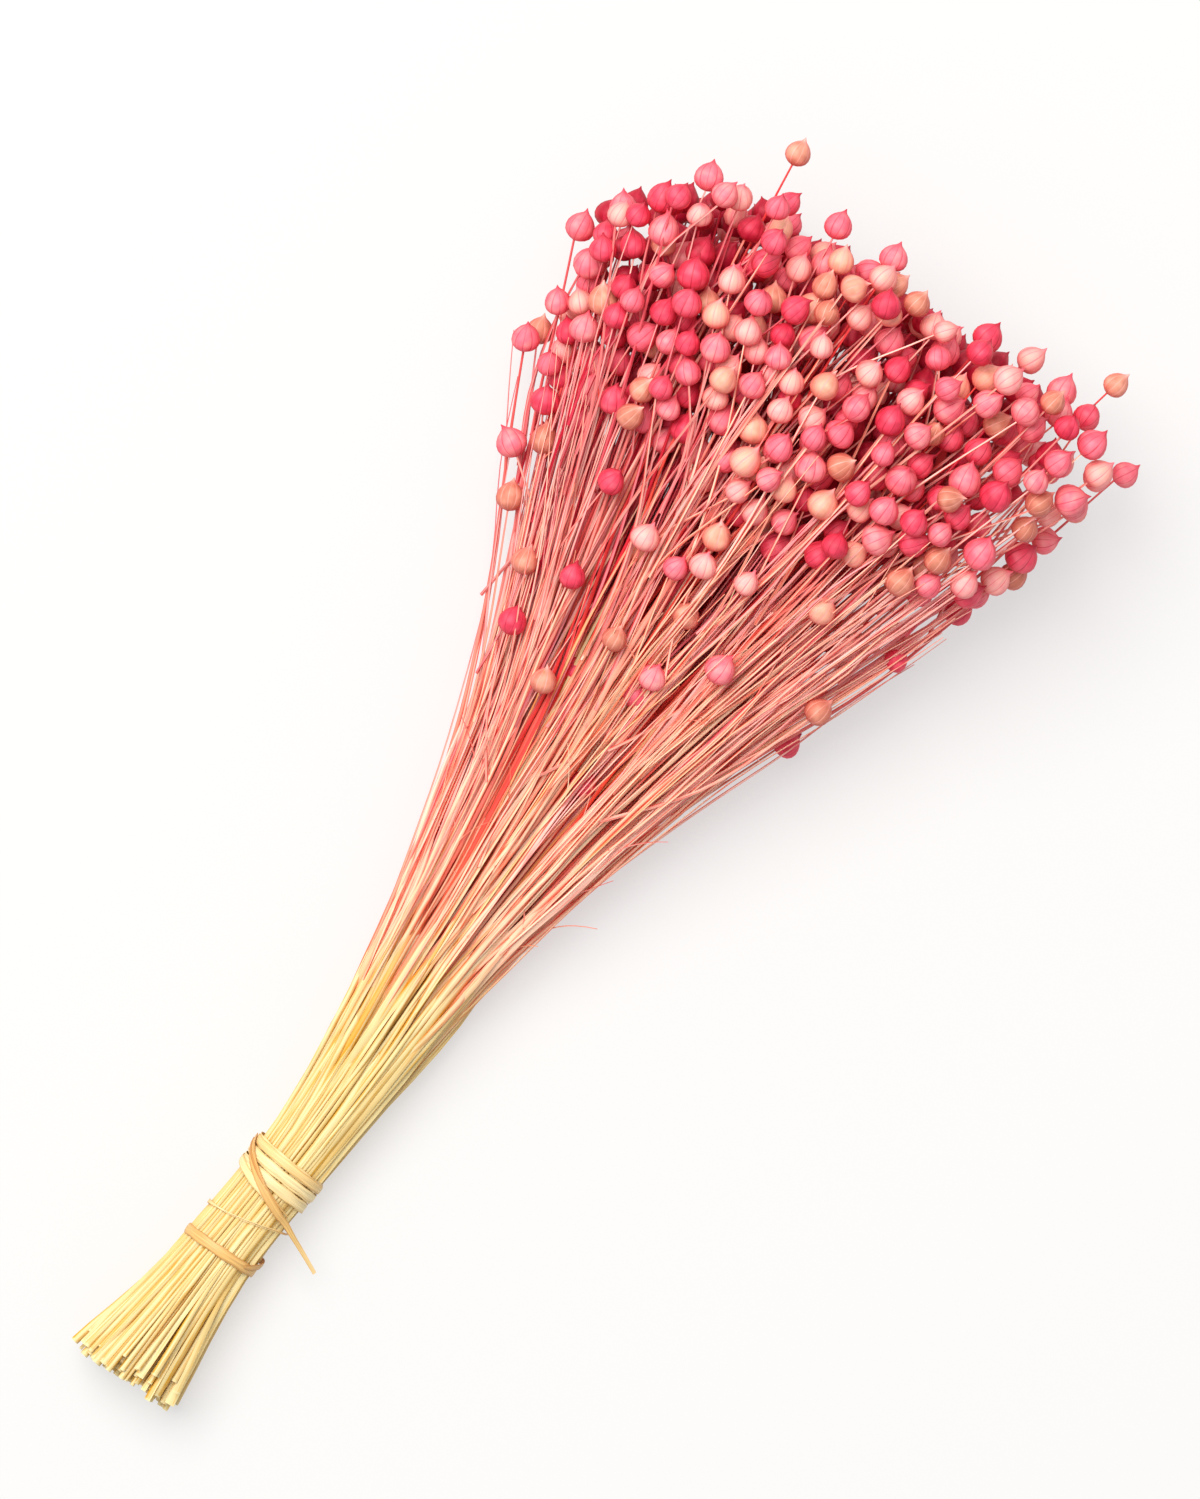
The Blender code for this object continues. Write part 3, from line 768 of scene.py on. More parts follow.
def boll_tone(centre, depth, chance):
    """How a boll took the dye, by where in the head it is. The deeper ones get a deeper tone, which is
    painted shade of the head's depth.
    """
    along = centre[0] + ORIGIN_ALONG
    a = (centre[1] + ORIGIN_ACROSS) / half_width(along)
    tones = (TAN, PEACH, PALE, PINK, DEEP)
    if a > 0.38:
        shares = (0.08, 0.04, 0.10, 0.40, 0.38)
    elif a > -0.15:
        shares = (0.09, 0.13, 0.26, 0.34, 0.18)
    else:
        shares = (0.07, 0.05, 0.15, 0.46, 0.27)
    tone = chance.choices(tones, shares)[0] + chance.uniform(-0.06, 0.07)
    # Painted shade: the deeper a boll lies in the head, the deeper its tone.
    return min(max(tone + 0.42 * smoothstep((depth - 7 * MM) / (22 * MM)), 0.0), 1.0)


# Closed forms, as rows of rings.


class Forms:
    """Gathers closed forms, each a row of rings of points, into one mesh."""

    def __init__(self):
        self.points, self.faces, self.finish, self.grain, self.values = [], [], [], [], []
        self.count = 0

    def add(self, rings, finish, girth, lengthwise, chance, **values):
        """Adds one form. Its grain runs from ring to ring: girth is its width round the form in mm, and
        lengthwise where along the grain each ring is, in mm. Values colour it, ring by ring or all over."""
        rows, sides, _ = rings.shape
        rings[:, :, 2] = np.clip(rings[:, :, 2], LOWEST, HIGHEST)
        index = self.count + np.arange(rows * sides).reshape(rows, sides)
        after = np.roll(index, -1, axis=1)
        quads = np.stack((index[:-1], after[:-1], after[1:], index[1:]), axis=2).reshape(-1, 4)
        self.faces += quads.tolist() + [index[0, ::-1].tolist(), index[-1].tolist()]
        self.finish.append(np.full(len(quads) + 2, finish))
        u = np.linspace(0, girth, sides + 1) + chance.uniform(0, GRAIN_SPAN)
        v = np.asarray(lengthwise) + chance.uniform(0, GRAIN_SPAN)
        u0, v0 = np.meshgrid(u[:-1], v[:-1])
        u1, v1 = np.meshgrid(u[1:], v[1:])
        corners = np.stack((u0, v0, u1, v0, u1, v1, u0, v1), axis=2).reshape(-1, 2)
        start = np.stack((u[:-1][::-1], np.full(sides, v[0])), axis=1)
        end = np.stack((u[:-1], np.full(sides, v[-1])), axis=1)
        self.grain += [corners, start, end]
        self.points.append(rings.reshape(-1, 3))
        spread = {name: np.broadcast_to(value, (rows, sides)).ravel() for name, value in values.items()}
        self.values.append((rows * sides, spread))
        self.count += rows * sides

    def piece(self, name, finishes, nodes=()):
        """Makes the forms one object on the bunch's body, in the place of the solids it stands for."""
        mesh = bpy.data.meshes.new(name)
        mesh.from_pydata(np.concatenate(self.points).tolist(), [], self.faces)
        for finish in finishes:
            mesh.materials.append(finish)
        mesh.polygons.foreach_set("material_index", np.concatenate(self.finish).astype(np.int32))
        layer = mesh.uv_layers.new(name="grain")
        layer.data.foreach_set("uv", np.concatenate(self.grain).astype(np.float32).ravel())
        for value in sorted({value for _, spread in self.values for value in spread}):
            rows = [spread.get(value, np.zeros(count)) for count, spread in self.values]
            attribute = mesh.attributes.new(value, "FLOAT", "POINT")
            attribute.data.foreach_set("value", np.concatenate(rows).astype(np.float32))
        mesh.shade_smooth()
        mesh.set_sharp_from_angle(angle=SHARP)
        mesh.validate()
        made = bpy.data.objects.new(name, mesh)
        bpy.context.scene.collection.objects.link(made)
        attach(made, "root")
        if nodes:
            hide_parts(*nodes)
        return made


def unit(vectors):
    return vectors / np.linalg.norm(vectors, axis=-1, keepdims=True)


def phase(chance):
    """Where a wave begins, anywhere in its turn."""
    return chance.uniform(0, 6.3)


def travelled(line):
    """How far along the line each of its points is, in mm."""
    return np.concatenate(([0], np.cumsum(np.linalg.norm(np.diff(line, axis=0), axis=1)))) / MM


def tube(forms, line, radii, sides, chance, flat=1.0, **values):
    """A closed tube along the line, a little flattened, such as a straw."""
    heading = unit(np.gradient(line, axis=0))
    side = unit(np.cross((0.0, 0.0, 1.0), heading))
    above = np.cross(heading, side)
    turn = chance.uniform(0, 2 * math.pi) + 2 * math.pi * np.arange(sides) / sides
    lie = chance.gauss(0, 0.45)
    wide = np.cos(lie) * side + np.sin(lie) * above
    deep = np.cross(heading, wide)
    ring = np.cos(turn)[None, :, None] * wide[:, None] + flat * np.sin(turn)[None, :, None] * deep[:, None]
    radii = np.asarray(radii)
    girth = 2 * math.pi * float(radii.mean()) / MM
    values = {name: np.reshape(value, (-1, 1)) for name, value in values.items()}
    forms.add(line[:, None] + radii[:, None, None] * ring, 0, girth, travelled(line), chance, **values)


# How wide a boll is, from its base to the tip of its beak.
BOLL_SHARES = (0.0, 0.03, 0.10, 0.20, 0.33, 0.48, 0.61, 0.72, 0.80, 0.85, 0.91, 1.0)
BOLL_WIDTHS = (0.10, 0.38, 0.68, 0.90, 1.0, 0.98, 0.85, 0.65, 0.42, 0.24, 0.12, 0.02)
CHAMBERS = 5
# Across one chamber, from a seam to the next: degrees, how deep the seam is and how it shows. The false seam,
# which only shows, is halfway.
CHAMBER = (
    (0.0, 1.0, 1.0), (3.5, 0.80, 0.1), (15.0, 0.18, 0.0), (32.5, 0.03, 0.0), (36.0, 0.22, 0.75),
    (39.5, 0.03, 0.0), (57.0, 0.18, 0.0), (68.5, 0.80, 0.1),
)


def boll(forms, shoot, tone, seam_depth, chance):
    """A flax capsule: a globe of five chambers drawn in along their seams, which ends in a short bent beak.
    It is drawn more plainly where it lies deep in the head."""
    every = 2 if shoot.depth > 20 * MM else 1
    chamber = CHAMBER[::every]
    direction = Vector(shoot.direction)
    wide = Matrix.Rotation(chance.uniform(0, 2 * math.pi), 3, direction) @ direction.orthogonal().normalized()
    deep = direction.cross(wide)
    shares = np.array(BOLL_SHARES[: -1 : every] + BOLL_SHARES[-1:])
    widths = np.array(BOLL_WIDTHS[: -1 : every] + BOLL_WIDTHS[-1:])
    swell = 1 + chance.uniform(-0.05, 0.05) * np.sin(math.pi * shares)
    across, depth, seam = np.tile(np.array(chamber), (CHAMBERS, 1)).T
    drawn_in = seam_depth * np.sin(math.pi * shares)[:, None] ** 0.6 * depth[None, :]
    turn = np.radians(across + np.repeat(np.arange(CHAMBERS), len(chamber)) * 360 / CHAMBERS)
    around_it = turn[None, :] + chance.uniform(-0.15, 0.15) * shares[:, None]
    wobble = 1 + 0.035 * np.sin(2 * turn + phase(chance)) + 0.02 * np.sin(3 * turn + phase(chance))
    radius = shoot.radius * (widths * swell)[:, None] * (1 - drawn_in) * wobble[None, :]
    x, y = np.cos(around_it) * radius, np.sin(around_it) * radius
    length = BOLL_LENGTH * shoot.radius * chance.uniform(0.97, 1.08)
    bend = np.clip(shares - 0.82, 0, 1)[:, None] * shoot.radius * chance.uniform(0.0, 1.6)
    lean = chance.uniform(0, 2 * math.pi)
    x, y = x + bend * math.cos(lean), y + bend * math.sin(lean)
    rings = (
        shoot.base
        + (shares * length)[:, None, None] * shoot.direction
        + x[:, :, None] * np.array(wide)
        + y[:, :, None] * np.array(deep)
    )
    girth = 2 * math.pi * shoot.radius / MM
    # The bolls' painted light is drawn too, but the capsule finish does not read it.
    colours = {"tone": tone, "rise": shares[:, None], "seam": seam[None, :], "shade": chance.random()}
    forms.add(rings, 1, girth, shares * length / MM, chance, **colours)


# Finishes.


def add_node(tree, kind, settings=None, links=None):
    """Adds a node. A setting is an option of the node, its colour stops or an input's value. A link feeds an
    input from an output, or from a node's first output. An input goes by its name, or by its number where the
    name is there twice."""
    made = tree.nodes.new(kind)
    for key, value in (settings or {}).items():
        if key == "stops":
            ramp = made.color_ramp.elements
            for position, _ in value[2:]:
                ramp.new(position)
            for element, (position, colour) in zip(ramp, value):
                element.position = position
                element.color = (*colour, 1)
        elif isinstance(key, int) or key in made.inputs:
            made.inputs[key].default_value = value
        else:
            setattr(made, key, value)
    for key, source in (links or {}).items():
        output = source.outputs[0] if isinstance(source, bpy.types.Node) else source
        tree.links.new(made.inputs[key], output)
    return made


def from_to(low, high, to_low=0.0, to_high=1.0):
    """The settings of a node that maps the first range onto the second."""
    return {"From Min": low, "From Max": high, "To Min": to_low, "To Max": to_high}


def new_finish(name, roughness, ior):
    """A material with a plain dielectric shader, and its node tree and shader."""
    made = bpy.data.materials.new(name)
    made.use_nodes = True
    shader = made.node_tree.nodes["Principled BSDF"]
    shader.inputs["Roughness"].default_value = roughness
    shader.inputs["IOR"].default_value = ior
    return made, made.node_tree, shader


def attribute(tree, name):
    return add_node(tree, "ShaderNodeAttribute", {"attribute_name": name}).outputs["Fac"]


def sideways(tree, top, side):
    """How far a surface faces away from straight up: 0 where its normal's Z is top, 1 where it is side."""
    normal = add_node(tree, "ShaderNodeNewGeometry").outputs["Normal"]
    up = add_node(tree, "ShaderNodeSeparateXYZ", links={0: normal}).outputs["Z"]
    return add_node(tree, "ShaderNodeMapRange", from_to(top, side), {"Value": up})


def grain_noise(tree, girthwise, lengthwise, detail):
    """Noise that follows a form's grain, with so many grains to the mm each way."""
    grain = add_node(tree, "ShaderNodeUVMap", {"uv_map": "grain"})
    stretch = {"operation": "MULTIPLY", 1: (girthwise, lengthwise, 1.0)}
    scaled = add_node(tree, "ShaderNodeVectorMath", stretch, {0: grain})
    return add_node(tree, "ShaderNodeTexNoise", {"Scale": 1.0, "Detail": detail}, {"Vector": scaled})


def texture(tree, shader, colour, light_from, light, relief_from, relief):
    """Gives the shader its colour, lighter and darker after one noise, and its relief after another. Light is
    a map's settings, and relief a bump's strength and height."""
    lit = add_node(tree, "ShaderNodeMapRange", light, {"Value": light_from})
    toned = add_node(tree, "ShaderNodeVectorMath", {"operation": "SCALE"}, {0: colour, "Scale": lit})
    tree.links.new(shader.inputs["Base Color"], toned.outputs[0])
    relief = dict(zip(("Strength", "Distance"), relief))
    bump = add_node(tree, "ShaderNodeBump", relief, {"Height": relief_from})
    tree.links.new(shader.inputs["Normal"], bump.outputs["Normal"])


@functools.cache
def flax_straw():
    """Retted flax straw, dyed by standing its heads in dye: waxy, and finely fibred lengthwise. It gives the
    eye a soft gleam and thin streaks along the stem, from straw yellow at the cut to pink at the head."""
    colours = bpy.context.scene.flax_straw
    finish, tree, shader = new_finish("dyed flax straw", 0.4, 1.45)
    light = (
        (0.0, colours.straw), (0.2, colours.ripe_straw), (0.4, colours.peach),
        (0.62, colours.coral), (0.82, colours.pink), (1.0, colours.deep_pink),
    )
    dark = ((0.0, colours.gold), (0.15, colours.amber), (0.45, colours.brick), (0.85, colours.crimson))
    dye = attribute(tree, "dye")
    lit = add_node(tree, "ShaderNodeValToRGB", {"stops": light}, {"Fac": dye})
    deep = add_node(tree, "ShaderNodeValToRGB", {"stops": dark}, {"Fac": dye})
    # Fibre bundles are 0.1 mm wide and show in streaks of several, 0.5 mm by 15 mm.
    streaks = grain_noise(tree, 2.0, 0.065, 2.0)
    # Blotches where the dye crept unevenly, about 12 mm long.
    blotches = grain_noise(tree, 0.2, 0.085, 1.0)
    # Its darker streaks are the straw's grain. Its sides, where the normal turns away from straight up, are
    # painted shade. So are the stems that lie deep in the bunch, which have little painted light. All three
    # are mixed towards the deeper colours rather than grey.
    streaked = add_node(tree, "ShaderNodeMapRange", from_to(0.50, 0.32, 0.0, 0.6), {"Value": streaks})
    add_painted_side_shade = {"operation": "MULTIPLY_ADD", 1: 0.80}
    with_painted_side_shade = add_node(tree, "ShaderNodeMath", add_painted_side_shade, {0: sideways(tree, 0.97, 0.55), 2: streaked})
    # Painted shade: the less painted light a stem has, the more it is mixed towards the deeper colours.
    inside = add_node(tree, "ShaderNodeMapRange", from_to(0.75, 0.0), {"Value": attribute(tree, "shade")})
    deeper = {"operation": "MAXIMUM", "use_clamp": True}
    darker = add_node(tree, "ShaderNodeMath", deeper, {0: with_painted_side_shade, 1: inside})
    # Its pith shows pale at the cut.
    # At the cut, neither the painted shade nor the darker streaks are mixed in, so its pith shows pale.
    less = {"operation": "SUBTRACT", "use_clamp": True}
    but_cut = add_node(tree, "ShaderNodeMath", less, {0: darker, 1: attribute(tree, "cut")})
    mixed = add_node(tree, "ShaderNodeMix", {"data_type": "RGBA"}, {0: but_cut, 6: lit, 7: deep})
    light_range = from_to(0.35, 0.65, 0.93, 1.02)
    texture(tree, shader, mixed.outputs[2], blotches, light_range, streaks, (0.25, 0.1 * MM))
    return finish


@functools.cache
def flax_capsule():
    """The dry, papery wall of a flax capsule, dyed. It gives the eye a matt globe with fine veins from base
    to beak, seams darker than the gores between them, and a beak where the dye gathered."""
    colours = bpy.context.scene.flax_bolls
    finish, tree, shader = new_finish("dyed flax capsule", 0.55, 1.45)
    stops = (
        (0.0, colours.tan), (0.20, colours.peach), (0.42, colours.pale_pink),
        (0.62, colours.pink), (0.82, colours.deep_pink), (1.0, colours.crimson),
    )
    # Patches where the wall took more or less dye, about 3 mm across.
    grain = add_node(tree, "ShaderNodeUVMap", {"uv_map": "grain"})
    mottles = add_node(tree, "ShaderNodeTexNoise", {"Scale": 0.33, "Detail": 1.0}, {"Vector": grain})
    uneven = add_node(tree, "ShaderNodeMapRange", from_to(0.3, 0.7, -0.08, 0.05), {"Value": mottles})
    more = {"operation": "ADD", "use_clamp": True}
    tone = add_node(tree, "ShaderNodeMath", more, {0: attribute(tree, "tone"), 1: uneven})
    wall = add_node(tree, "ShaderNodeValToRGB", {"stops": stops}, {"Fac": tone})
    gathered = add_node(tree, "ShaderNodeMath", {"operation": "ADD", 1: 0.30}, {0: tone})
    stained = add_node(tree, "ShaderNodeValToRGB", {"stops": stops}, {"Fac": gathered})
    # The beak and the seams took more dye.
    beak = {"interpolation_type": "SMOOTHSTEP", **from_to(0.72, 0.95, 0.0, 0.85)}
    near_beak = add_node(tree, "ShaderNodeMapRange", beak, {"Value": attribute(tree, "rise")})
    seam = from_to(0.1, 1.0, 0.0, 0.9)
    on_seam = add_node(tree, "ShaderNodeMapRange", seam, {"Value": attribute(tree, "seam")})
    stain = add_node(tree, "ShaderNodeMath", {"operation": "MAXIMUM"}, {0: near_beak, 1: on_seam})
    mixed = add_node(tree, "ShaderNodeMix", {"data_type": "RGBA"}, {0: stain, 6: wall, 7: stained})
    # Painted shade: where the wall's normal turns away from straight up, its colour is multiplied towards a
    # deeper pink, so a boll is paler on top and deeper in colour on its sides.
    painted_side_shade = {"data_type": "RGBA", "blend_type": "MULTIPLY", 7: (0.95, 0.42, 0.46, 1)}
    by_side_facing = {0: sideways(tree, 0.95, 0.05), 6: mixed.outputs[2]}
    side_shaded = add_node(tree, "ShaderNodeMix", painted_side_shade, by_side_facing)
    # Veins are 0.2 mm apart and are drawn 0.5 mm apart, as finer ones would not show.
    veins = grain_noise(tree, 2.0, 0.22, 2.0)
    light_range = from_to(0.3, 0.7, 0.90, 1.06)
    texture(tree, shader, side_shaded.outputs[2], veins, light_range, veins, (0.2, 0.1 * MM))
    return finish


@functools.cache
def raffia():
    """Raffia, the split and dried skin of a palm leaf. It gives the eye a satin strip with lengthwise fibres,
    pale where it is clean and tan where it is folded or thick."""
    colours = bpy.context.scene.flax_raffia
    finish, tree, shader = new_finish("dried raffia", 0.45, 1.45)
    stops = ((0.0, colours.pale), (0.5, colours.golden), (1.0, colours.tan))
    browned = add_node(tree, "ShaderNodeValToRGB", {"stops": stops}, {"Fac": attribute(tree, "tan")})
    # Fibres are 0.3 mm apart and run the strip's length.
    fibres = grain_noise(tree, 3.3, 0.08, 2.0)
    texture(tree, shader, browned, fibres, from_to(0.3, 0.7, 0.72, 1.08), fibres, (0.4, 0.15 * MM))
    return finish


def light_table(colour, glow):
    """Sand-blasted opal acrylic, lit from below. It gives the eye an even white ground, with soft and pale
    shadows."""
    finish, tree, shader = new_finish("opal acrylic", 0.8, 1.49)
    shader.inputs["Specular IOR Level"].default_value = 0.1
    shader.inputs["Emission Color"].default_value = (1, 1, 1, 1)
    shader.inputs["Emission Strength"].default_value = glow
    place = add_node(tree, "ShaderNodeTexCoord").outputs["Object"]
    # The blasted surface's clouding, about 2 mm across.
    clouding = add_node(tree, "ShaderNodeTexNoise", {"Scale": 500.0, "Detail": 1.0}, {"Vector": place})
    tones = {"data_type": "RGBA", 6: (*colour, 1), 7: (*[0.985 * c for c in colour], 1)}
    paint = add_node(tree, "ShaderNodeMix", tones, {0: clouding})
    tree.links.new(shader.inputs["Base Color"], paint.outputs[2])
    return finish


# The pieces.


def wavering(line, slope, chance):
    """The stem's line with the slight bends that a dry straw has, which fade out at its two ends."""
    along = line[:, 0] + ORIGIN_ALONG
    free = np.clip((along - NECK_TO) / (60 * MM), 0.2, 1) * np.clip((along[-1] - along) / (40 * MM), 0, 1)
    moved = line.copy()
    for axis in (1, 2):
        for bend in (chance.uniform(6, 10), chance.uniform(10, 18), chance.uniform(18, 30)):
            moved[:, axis] += slope * bend * MM * free * np.sin(along / bend / MM + phase(chance))
    return moved


def at_rings(rings, values):
    return np.interp(rings, np.arange(len(values)), values)


def withered_shoot(stem, alongs, lengths, rising, chance):
    """The line of a short dry side shoot or leaf that curls away from the stem."""
    row = int(np.abs(stem[:-1, 0] + ORIGIN_ALONG - chance.uniform(*alongs) * MM).argmin())
    forward = unit(stem[row + 1] - stem[row])
    out = unit(np.array((0, chance.uniform(-1, 1), rising * chance.uniform(0.1, 0.8))))
    curl = unit(np.array([chance.uniform(-1, 1) for _ in range(3)]))
    share = np.linspace(0, 1, 9)[:, None]
    length = chance.uniform(*lengths) * MM
    return stem[row] + length * (share * forward + 0.5 * share**1.5 * out + 0.5 * share**2.5 * curl)


def kept_on(line, stem, moved):
    """A stalk's line, bent so that it still leaves its stem where that has moved."""
    root = int(np.linalg.norm(stem - line[0], axis=1).argmin())
    return line + np.linspace(1, 0, len(line))[:, None] * (moved[root] - stem[root])


def dress(forms, plant, variety, waver, chance):
    """Adds a plant's stem, stalks and bolls to the forms. Variety is how much its thickness may differ from
    the others', and waver how steeply its stem bends to and fro."""
    straw, bolls = bpy.context.scene.flax_straw, bpy.context.scene.flax_bolls
    a, b = plant.at_tie
    # Painted light: stems that lie deeper below the bunch's top and inside its section get less of it, which
    # paints the shade within the bunch. It also varies at random, and pale strands get more.
    buried = math.sqrt(max(1 - a * a, 0)) - b
    on_top = 1 - smoothstep((buried - 0.12) / 0.45)
    inside = min(buried, 1.2 * (1 - math.hypot(a, b)) + 0.05)
    painted_light_at_tie = between(0.0, 0.7, 1 - smoothstep((inside - 0.1) / 0.3)) + chance.uniform(-0.3, 0.3)
    pale = paleness(plant.at_tie)
    painted_light_above = between(0.08 + 0.25 * pale, 0.55 + 0.38 * pale, on_top) + chance.uniform(-0.27, 0.27)
    # Stems at the bunch's two sides get more painted light.
    painted_light_above += 0.25 if a < -0.5 else 0.15 if a > 0.5 else 0.0

    if plant.shoots:
        stem = plant.shoots[0].line(7 * MM)
    else:
        stem = plant.bare.pop()
    along = stem[:, 0] + ORIGIN_ALONG
    ends = along[-1]
    radii = (1 + variety * chance.uniform(-1, 1)) * np.interp(
        along,
        (0, NECK_FROM, NECK_TO, 150 * MM, 0.7 * ends, ends - 20 * MM, ends),
        (straw.cut, straw.tie, straw.tie, straw.tie, straw.fork * 1.2, straw.fork * 0.8, straw.stalk),
    )
    radii *= 1 + 0.05 * np.sin(along * 300 + phase(chance))
    broad = on_top * 1.3 * chance.random() ** 2
    radii *= 1 + broad * np.interp(along, (0, 60 * MM, 140 * MM, 260 * MM), (0.5, 0.3, 1, 0))
    moved = wavering(stem, waver, chance)
    moved[:, 2] = np.maximum(moved[:, 2], radii)
    dye = stem_dye(plant, along, chance)
    # Painted light along the stem: high at the cut, its value at the ties and then above them, and less in
    # the head, which paints more shade there.
    shade = np.interp(along, (0, 35 * MM, 90 * MM, 170 * MM), (0.9, painted_light_at_tie, painted_light_at_tie, painted_light_above))
    shade -= 0.18 * smoothed(along, 230 * MM, 310 * MM)
    flat = chance.uniform(0.6, 0.95) - 0.12 * on_top - 0.25 * broad
    rings = np.insert(np.arange(1.0, len(stem)), 0, (0, 0.1))
    line = np.array([at_rings(rings, moved[:, axis]) for axis in range(3)]).T
    widths, dyes, painted_lights = (at_rings(rings, values) for values in (radii, dye, shade))
    tube(forms, line, widths, STEM_SIDES, chance, flat=flat, dye=dyes, shade=painted_lights, cut=rings == 0)

    for _ in range(chance.choice((0, 0, 1, 1, 2)) if on_top > 0.3 else 0):
        curled = withered_shoot(moved, (150, 310), (5, 17), 1, chance)
        radii_there = straw.stalk * np.linspace(0.75, 0.35, len(curled))
        curl_dye = float(dye[-1]) * chance.uniform(0.3, 1)
        tube(forms, curled, radii_there, CURL_SIDES, chance, dye=curl_dye, shade=0.9)

    # Withered leaves deep in the head, with much dye and little painted light. Being dark crimson, they paint
    # the shade in the head's gaps.
    for _ in range(4 if abs(a) < 0.5 and b < 0.1 else 0):
        leaf = withered_shoot(moved, (255, 345), (10, 22), 0.1, chance)
        leaf_radii = chance.uniform(0.8, 1.5) * MM * np.sin(np.linspace(0.2, 3.0, len(leaf)))
        leaf[:, 2] = np.maximum(leaf[:, 2], 2 * leaf_radii)
        leaf_dye, leaf_painted_light = chance.uniform(0.7, 1.0), chance.uniform(0, 0.4)
        tube(forms, leaf, leaf_radii, STALK_SIDES, chance, flat=0.2, dye=leaf_dye, shade=leaf_painted_light)

    for line in plant.bare:
        loose = between(line, wavering(line, 1.5 * waver, chance), np.linspace(0, 1, len(line))[:, None])
        loose = kept_on(loose, stem, moved)
        radii = straw.stalk * np.linspace(chance.uniform(1.1, 1.7), 0.5, len(line))
        leafy = (1 - on_top) * chance.uniform(0.5, 2.2)
        radii *= 1 + leafy * np.sin(np.linspace(0, math.pi, len(line))) ** 2
        bare_dye = np.interp(line[:, 0] + ORIGIN_ALONG, along, dye) + chance.uniform(-0.15, 0.15)
        bare_painted_light = painted_light_above + chance.uniform(-0.3, 0.3)
        flat = 1 - 0.25 * leafy
        tube(forms, loose, radii, STALK_SIDES, chance, flat=flat, dye=bare_dye, shade=bare_painted_light)

    for number, shoot in enumerate(plant.shoots):
        if number > 0:
            line = kept_on(shoot.line(8 * MM), stem, moved)
            radii = np.linspace(1 + 0.1 * len(line), 1.0, len(line)).clip(1, 1.9) * straw.stalk
            # Painted shade: stalks of bolls deep in the head get more dye and less painted light.
            deep = smoothstep((shoot.depth - 8 * MM) / (20 * MM))
            stalk_dye = between(float(dye[-1]), chance.uniform(0.4, 0.95), 0.6)
            stalk_dye = stalk_dye + 0.3 * deep + 0.2 * max(a, 0.0)
            stalk_painted_light = chance.uniform(0.3, 1) * (1 - deep)
            tube(forms, line, radii, STALK_SIDES, chance, dye=stalk_dye, shade=stalk_painted_light)
        tone = plant.tone if number == 0 else None
        if tone is None:
            tone = boll_tone(shoot.centre(), shoot.depth, chance)
        boll(forms, shoot, tone, bolls.seam_depth, chance)


class FLAX_OT_named_plants(Operator):
    """Grow the fifty plants that have solids, each as one piece from its cut end to its bolls"""

    bl_idname = "flax.named_plants"
    bl_label = "Flax plants"

    def execute(self, context):
        for index, plant in enumerate(named_plants()):
            forms = Forms()
            dress(forms, plant, 0.2, 0.016, random.Random(DRESS_NAMED + index))
            number = f"{index + 1:02d}"
            forms.piece(f"plant_{number}", (flax_straw(), flax_capsule()), (f"flax_plant_{number}",))
        return {"FINISHED"}


class FLAX_OT_companion_plants(Operator):
    """Fill the bunch up with further plants between the others"""

    bl_idname = "flax.companion_plants"
    bl_label = "Companion plants"

    def execute(self, context):
        companions = context.scene.flax_companions
        plants = companion_plants(companions.count)
        for group in range(companions.groups):
            forms = Forms()
            for index in range(group, len(plants), companions.groups):
                dress(forms, plants[index], 0.45, 0.04, random.Random(DRESS_COMPANION + index))
            forms.piece(f"companion_plants_{group + 1:02d}", (flax_straw(), flax_capsule()))
        return {"FINISHED"}


def around(along, turn, clearance):
    """A point of a wrap round the bundle at this turn, which is 0 at +Y and a quarter turn at the top, and
    the direction out of the bundle there."""
    wide, high = half_width(along) + clearance, half_height(along) + clearance
    offset = np.array((0.0, math.cos(turn) * wide, math.sin(turn) * high))
    outward = np.array((0.0, math.cos(turn) / wide, math.sin(turn) / high))
    return np.array(bundle_point(along, 0, 0)) + offset, outward / np.linalg.norm(outward)


def ribbon(forms, line, outward, widths, thickness, tan, chance, cup=0.0):
    """A strip of raffia along the line, lying flat against what is behind it, with thin edges. Cup lifts its
    edges, or lowers them where it is below zero."""
    heading = unit(np.gradient(line, axis=0))
    outward = unit(outward - (outward * heading).sum(1, keepdims=True) * heading)
    wide = np.cross(outward, heading)
    across = np.linspace(-1, 1, 7)
    thick = 0.5 * thickness * np.sqrt(1 - 0.88 * across**2)
    lift = cup * across**2
    x = np.concatenate((across, across[::-1]))
    y = np.concatenate((lift - thick, (lift + thick)[::-1]))
    half = 0.5 * np.asarray(widths)[:, None]
    rings = (
        line[:, None]
        + (half * x)[:, :, None] * wide[:, None]
        + np.broadcast_to(y, (len(line), len(y)))[:, :, None] * outward[:, None]
    )
    browner_edges = np.abs(x) ** 6 * 0.35
    tans = np.reshape(tan, (-1, 1)) + browner_edges[None, :]
    forms.add(rings, 0, 4 * float(half.mean()) / MM, travelled(line), chance, tan=tans)


def wrap(forms, course, width, thickness, clearance, tan, chance, cup=0.0, ends=(1.0, 1.0)):
    """A ribbon wound round the bundle. The course says where along it is at each turn, first to last."""
    first, last = course[0][0], course[-1][0]
    turns = np.linspace(first, last, max(8, int(abs(last - first) / math.radians(6))))
    alongs = np.interp(turns, [turn for turn, _ in course], [along for _, along in course])
    alongs = np.convolve(np.pad(alongs, 4, mode="reflect", reflect_type="odd"), np.ones(9) / 9, mode="valid")
    places = [around(along * MM, turn, clearance) for along, turn in zip(alongs, turns)]
    share = np.linspace(0, 1, len(turns))
    taper = np.interp(share, (0, 0.12, 0.88, 1), (ends[0], 1, 1, ends[1]))
    waver = 1 + 0.07 * np.sin(9 * turns + phase(chance))
    line, outward = (np.array(column) for column in zip(*places))
    ribbon(forms, line, outward, width * taper * waver, thickness, tan, chance, cup)


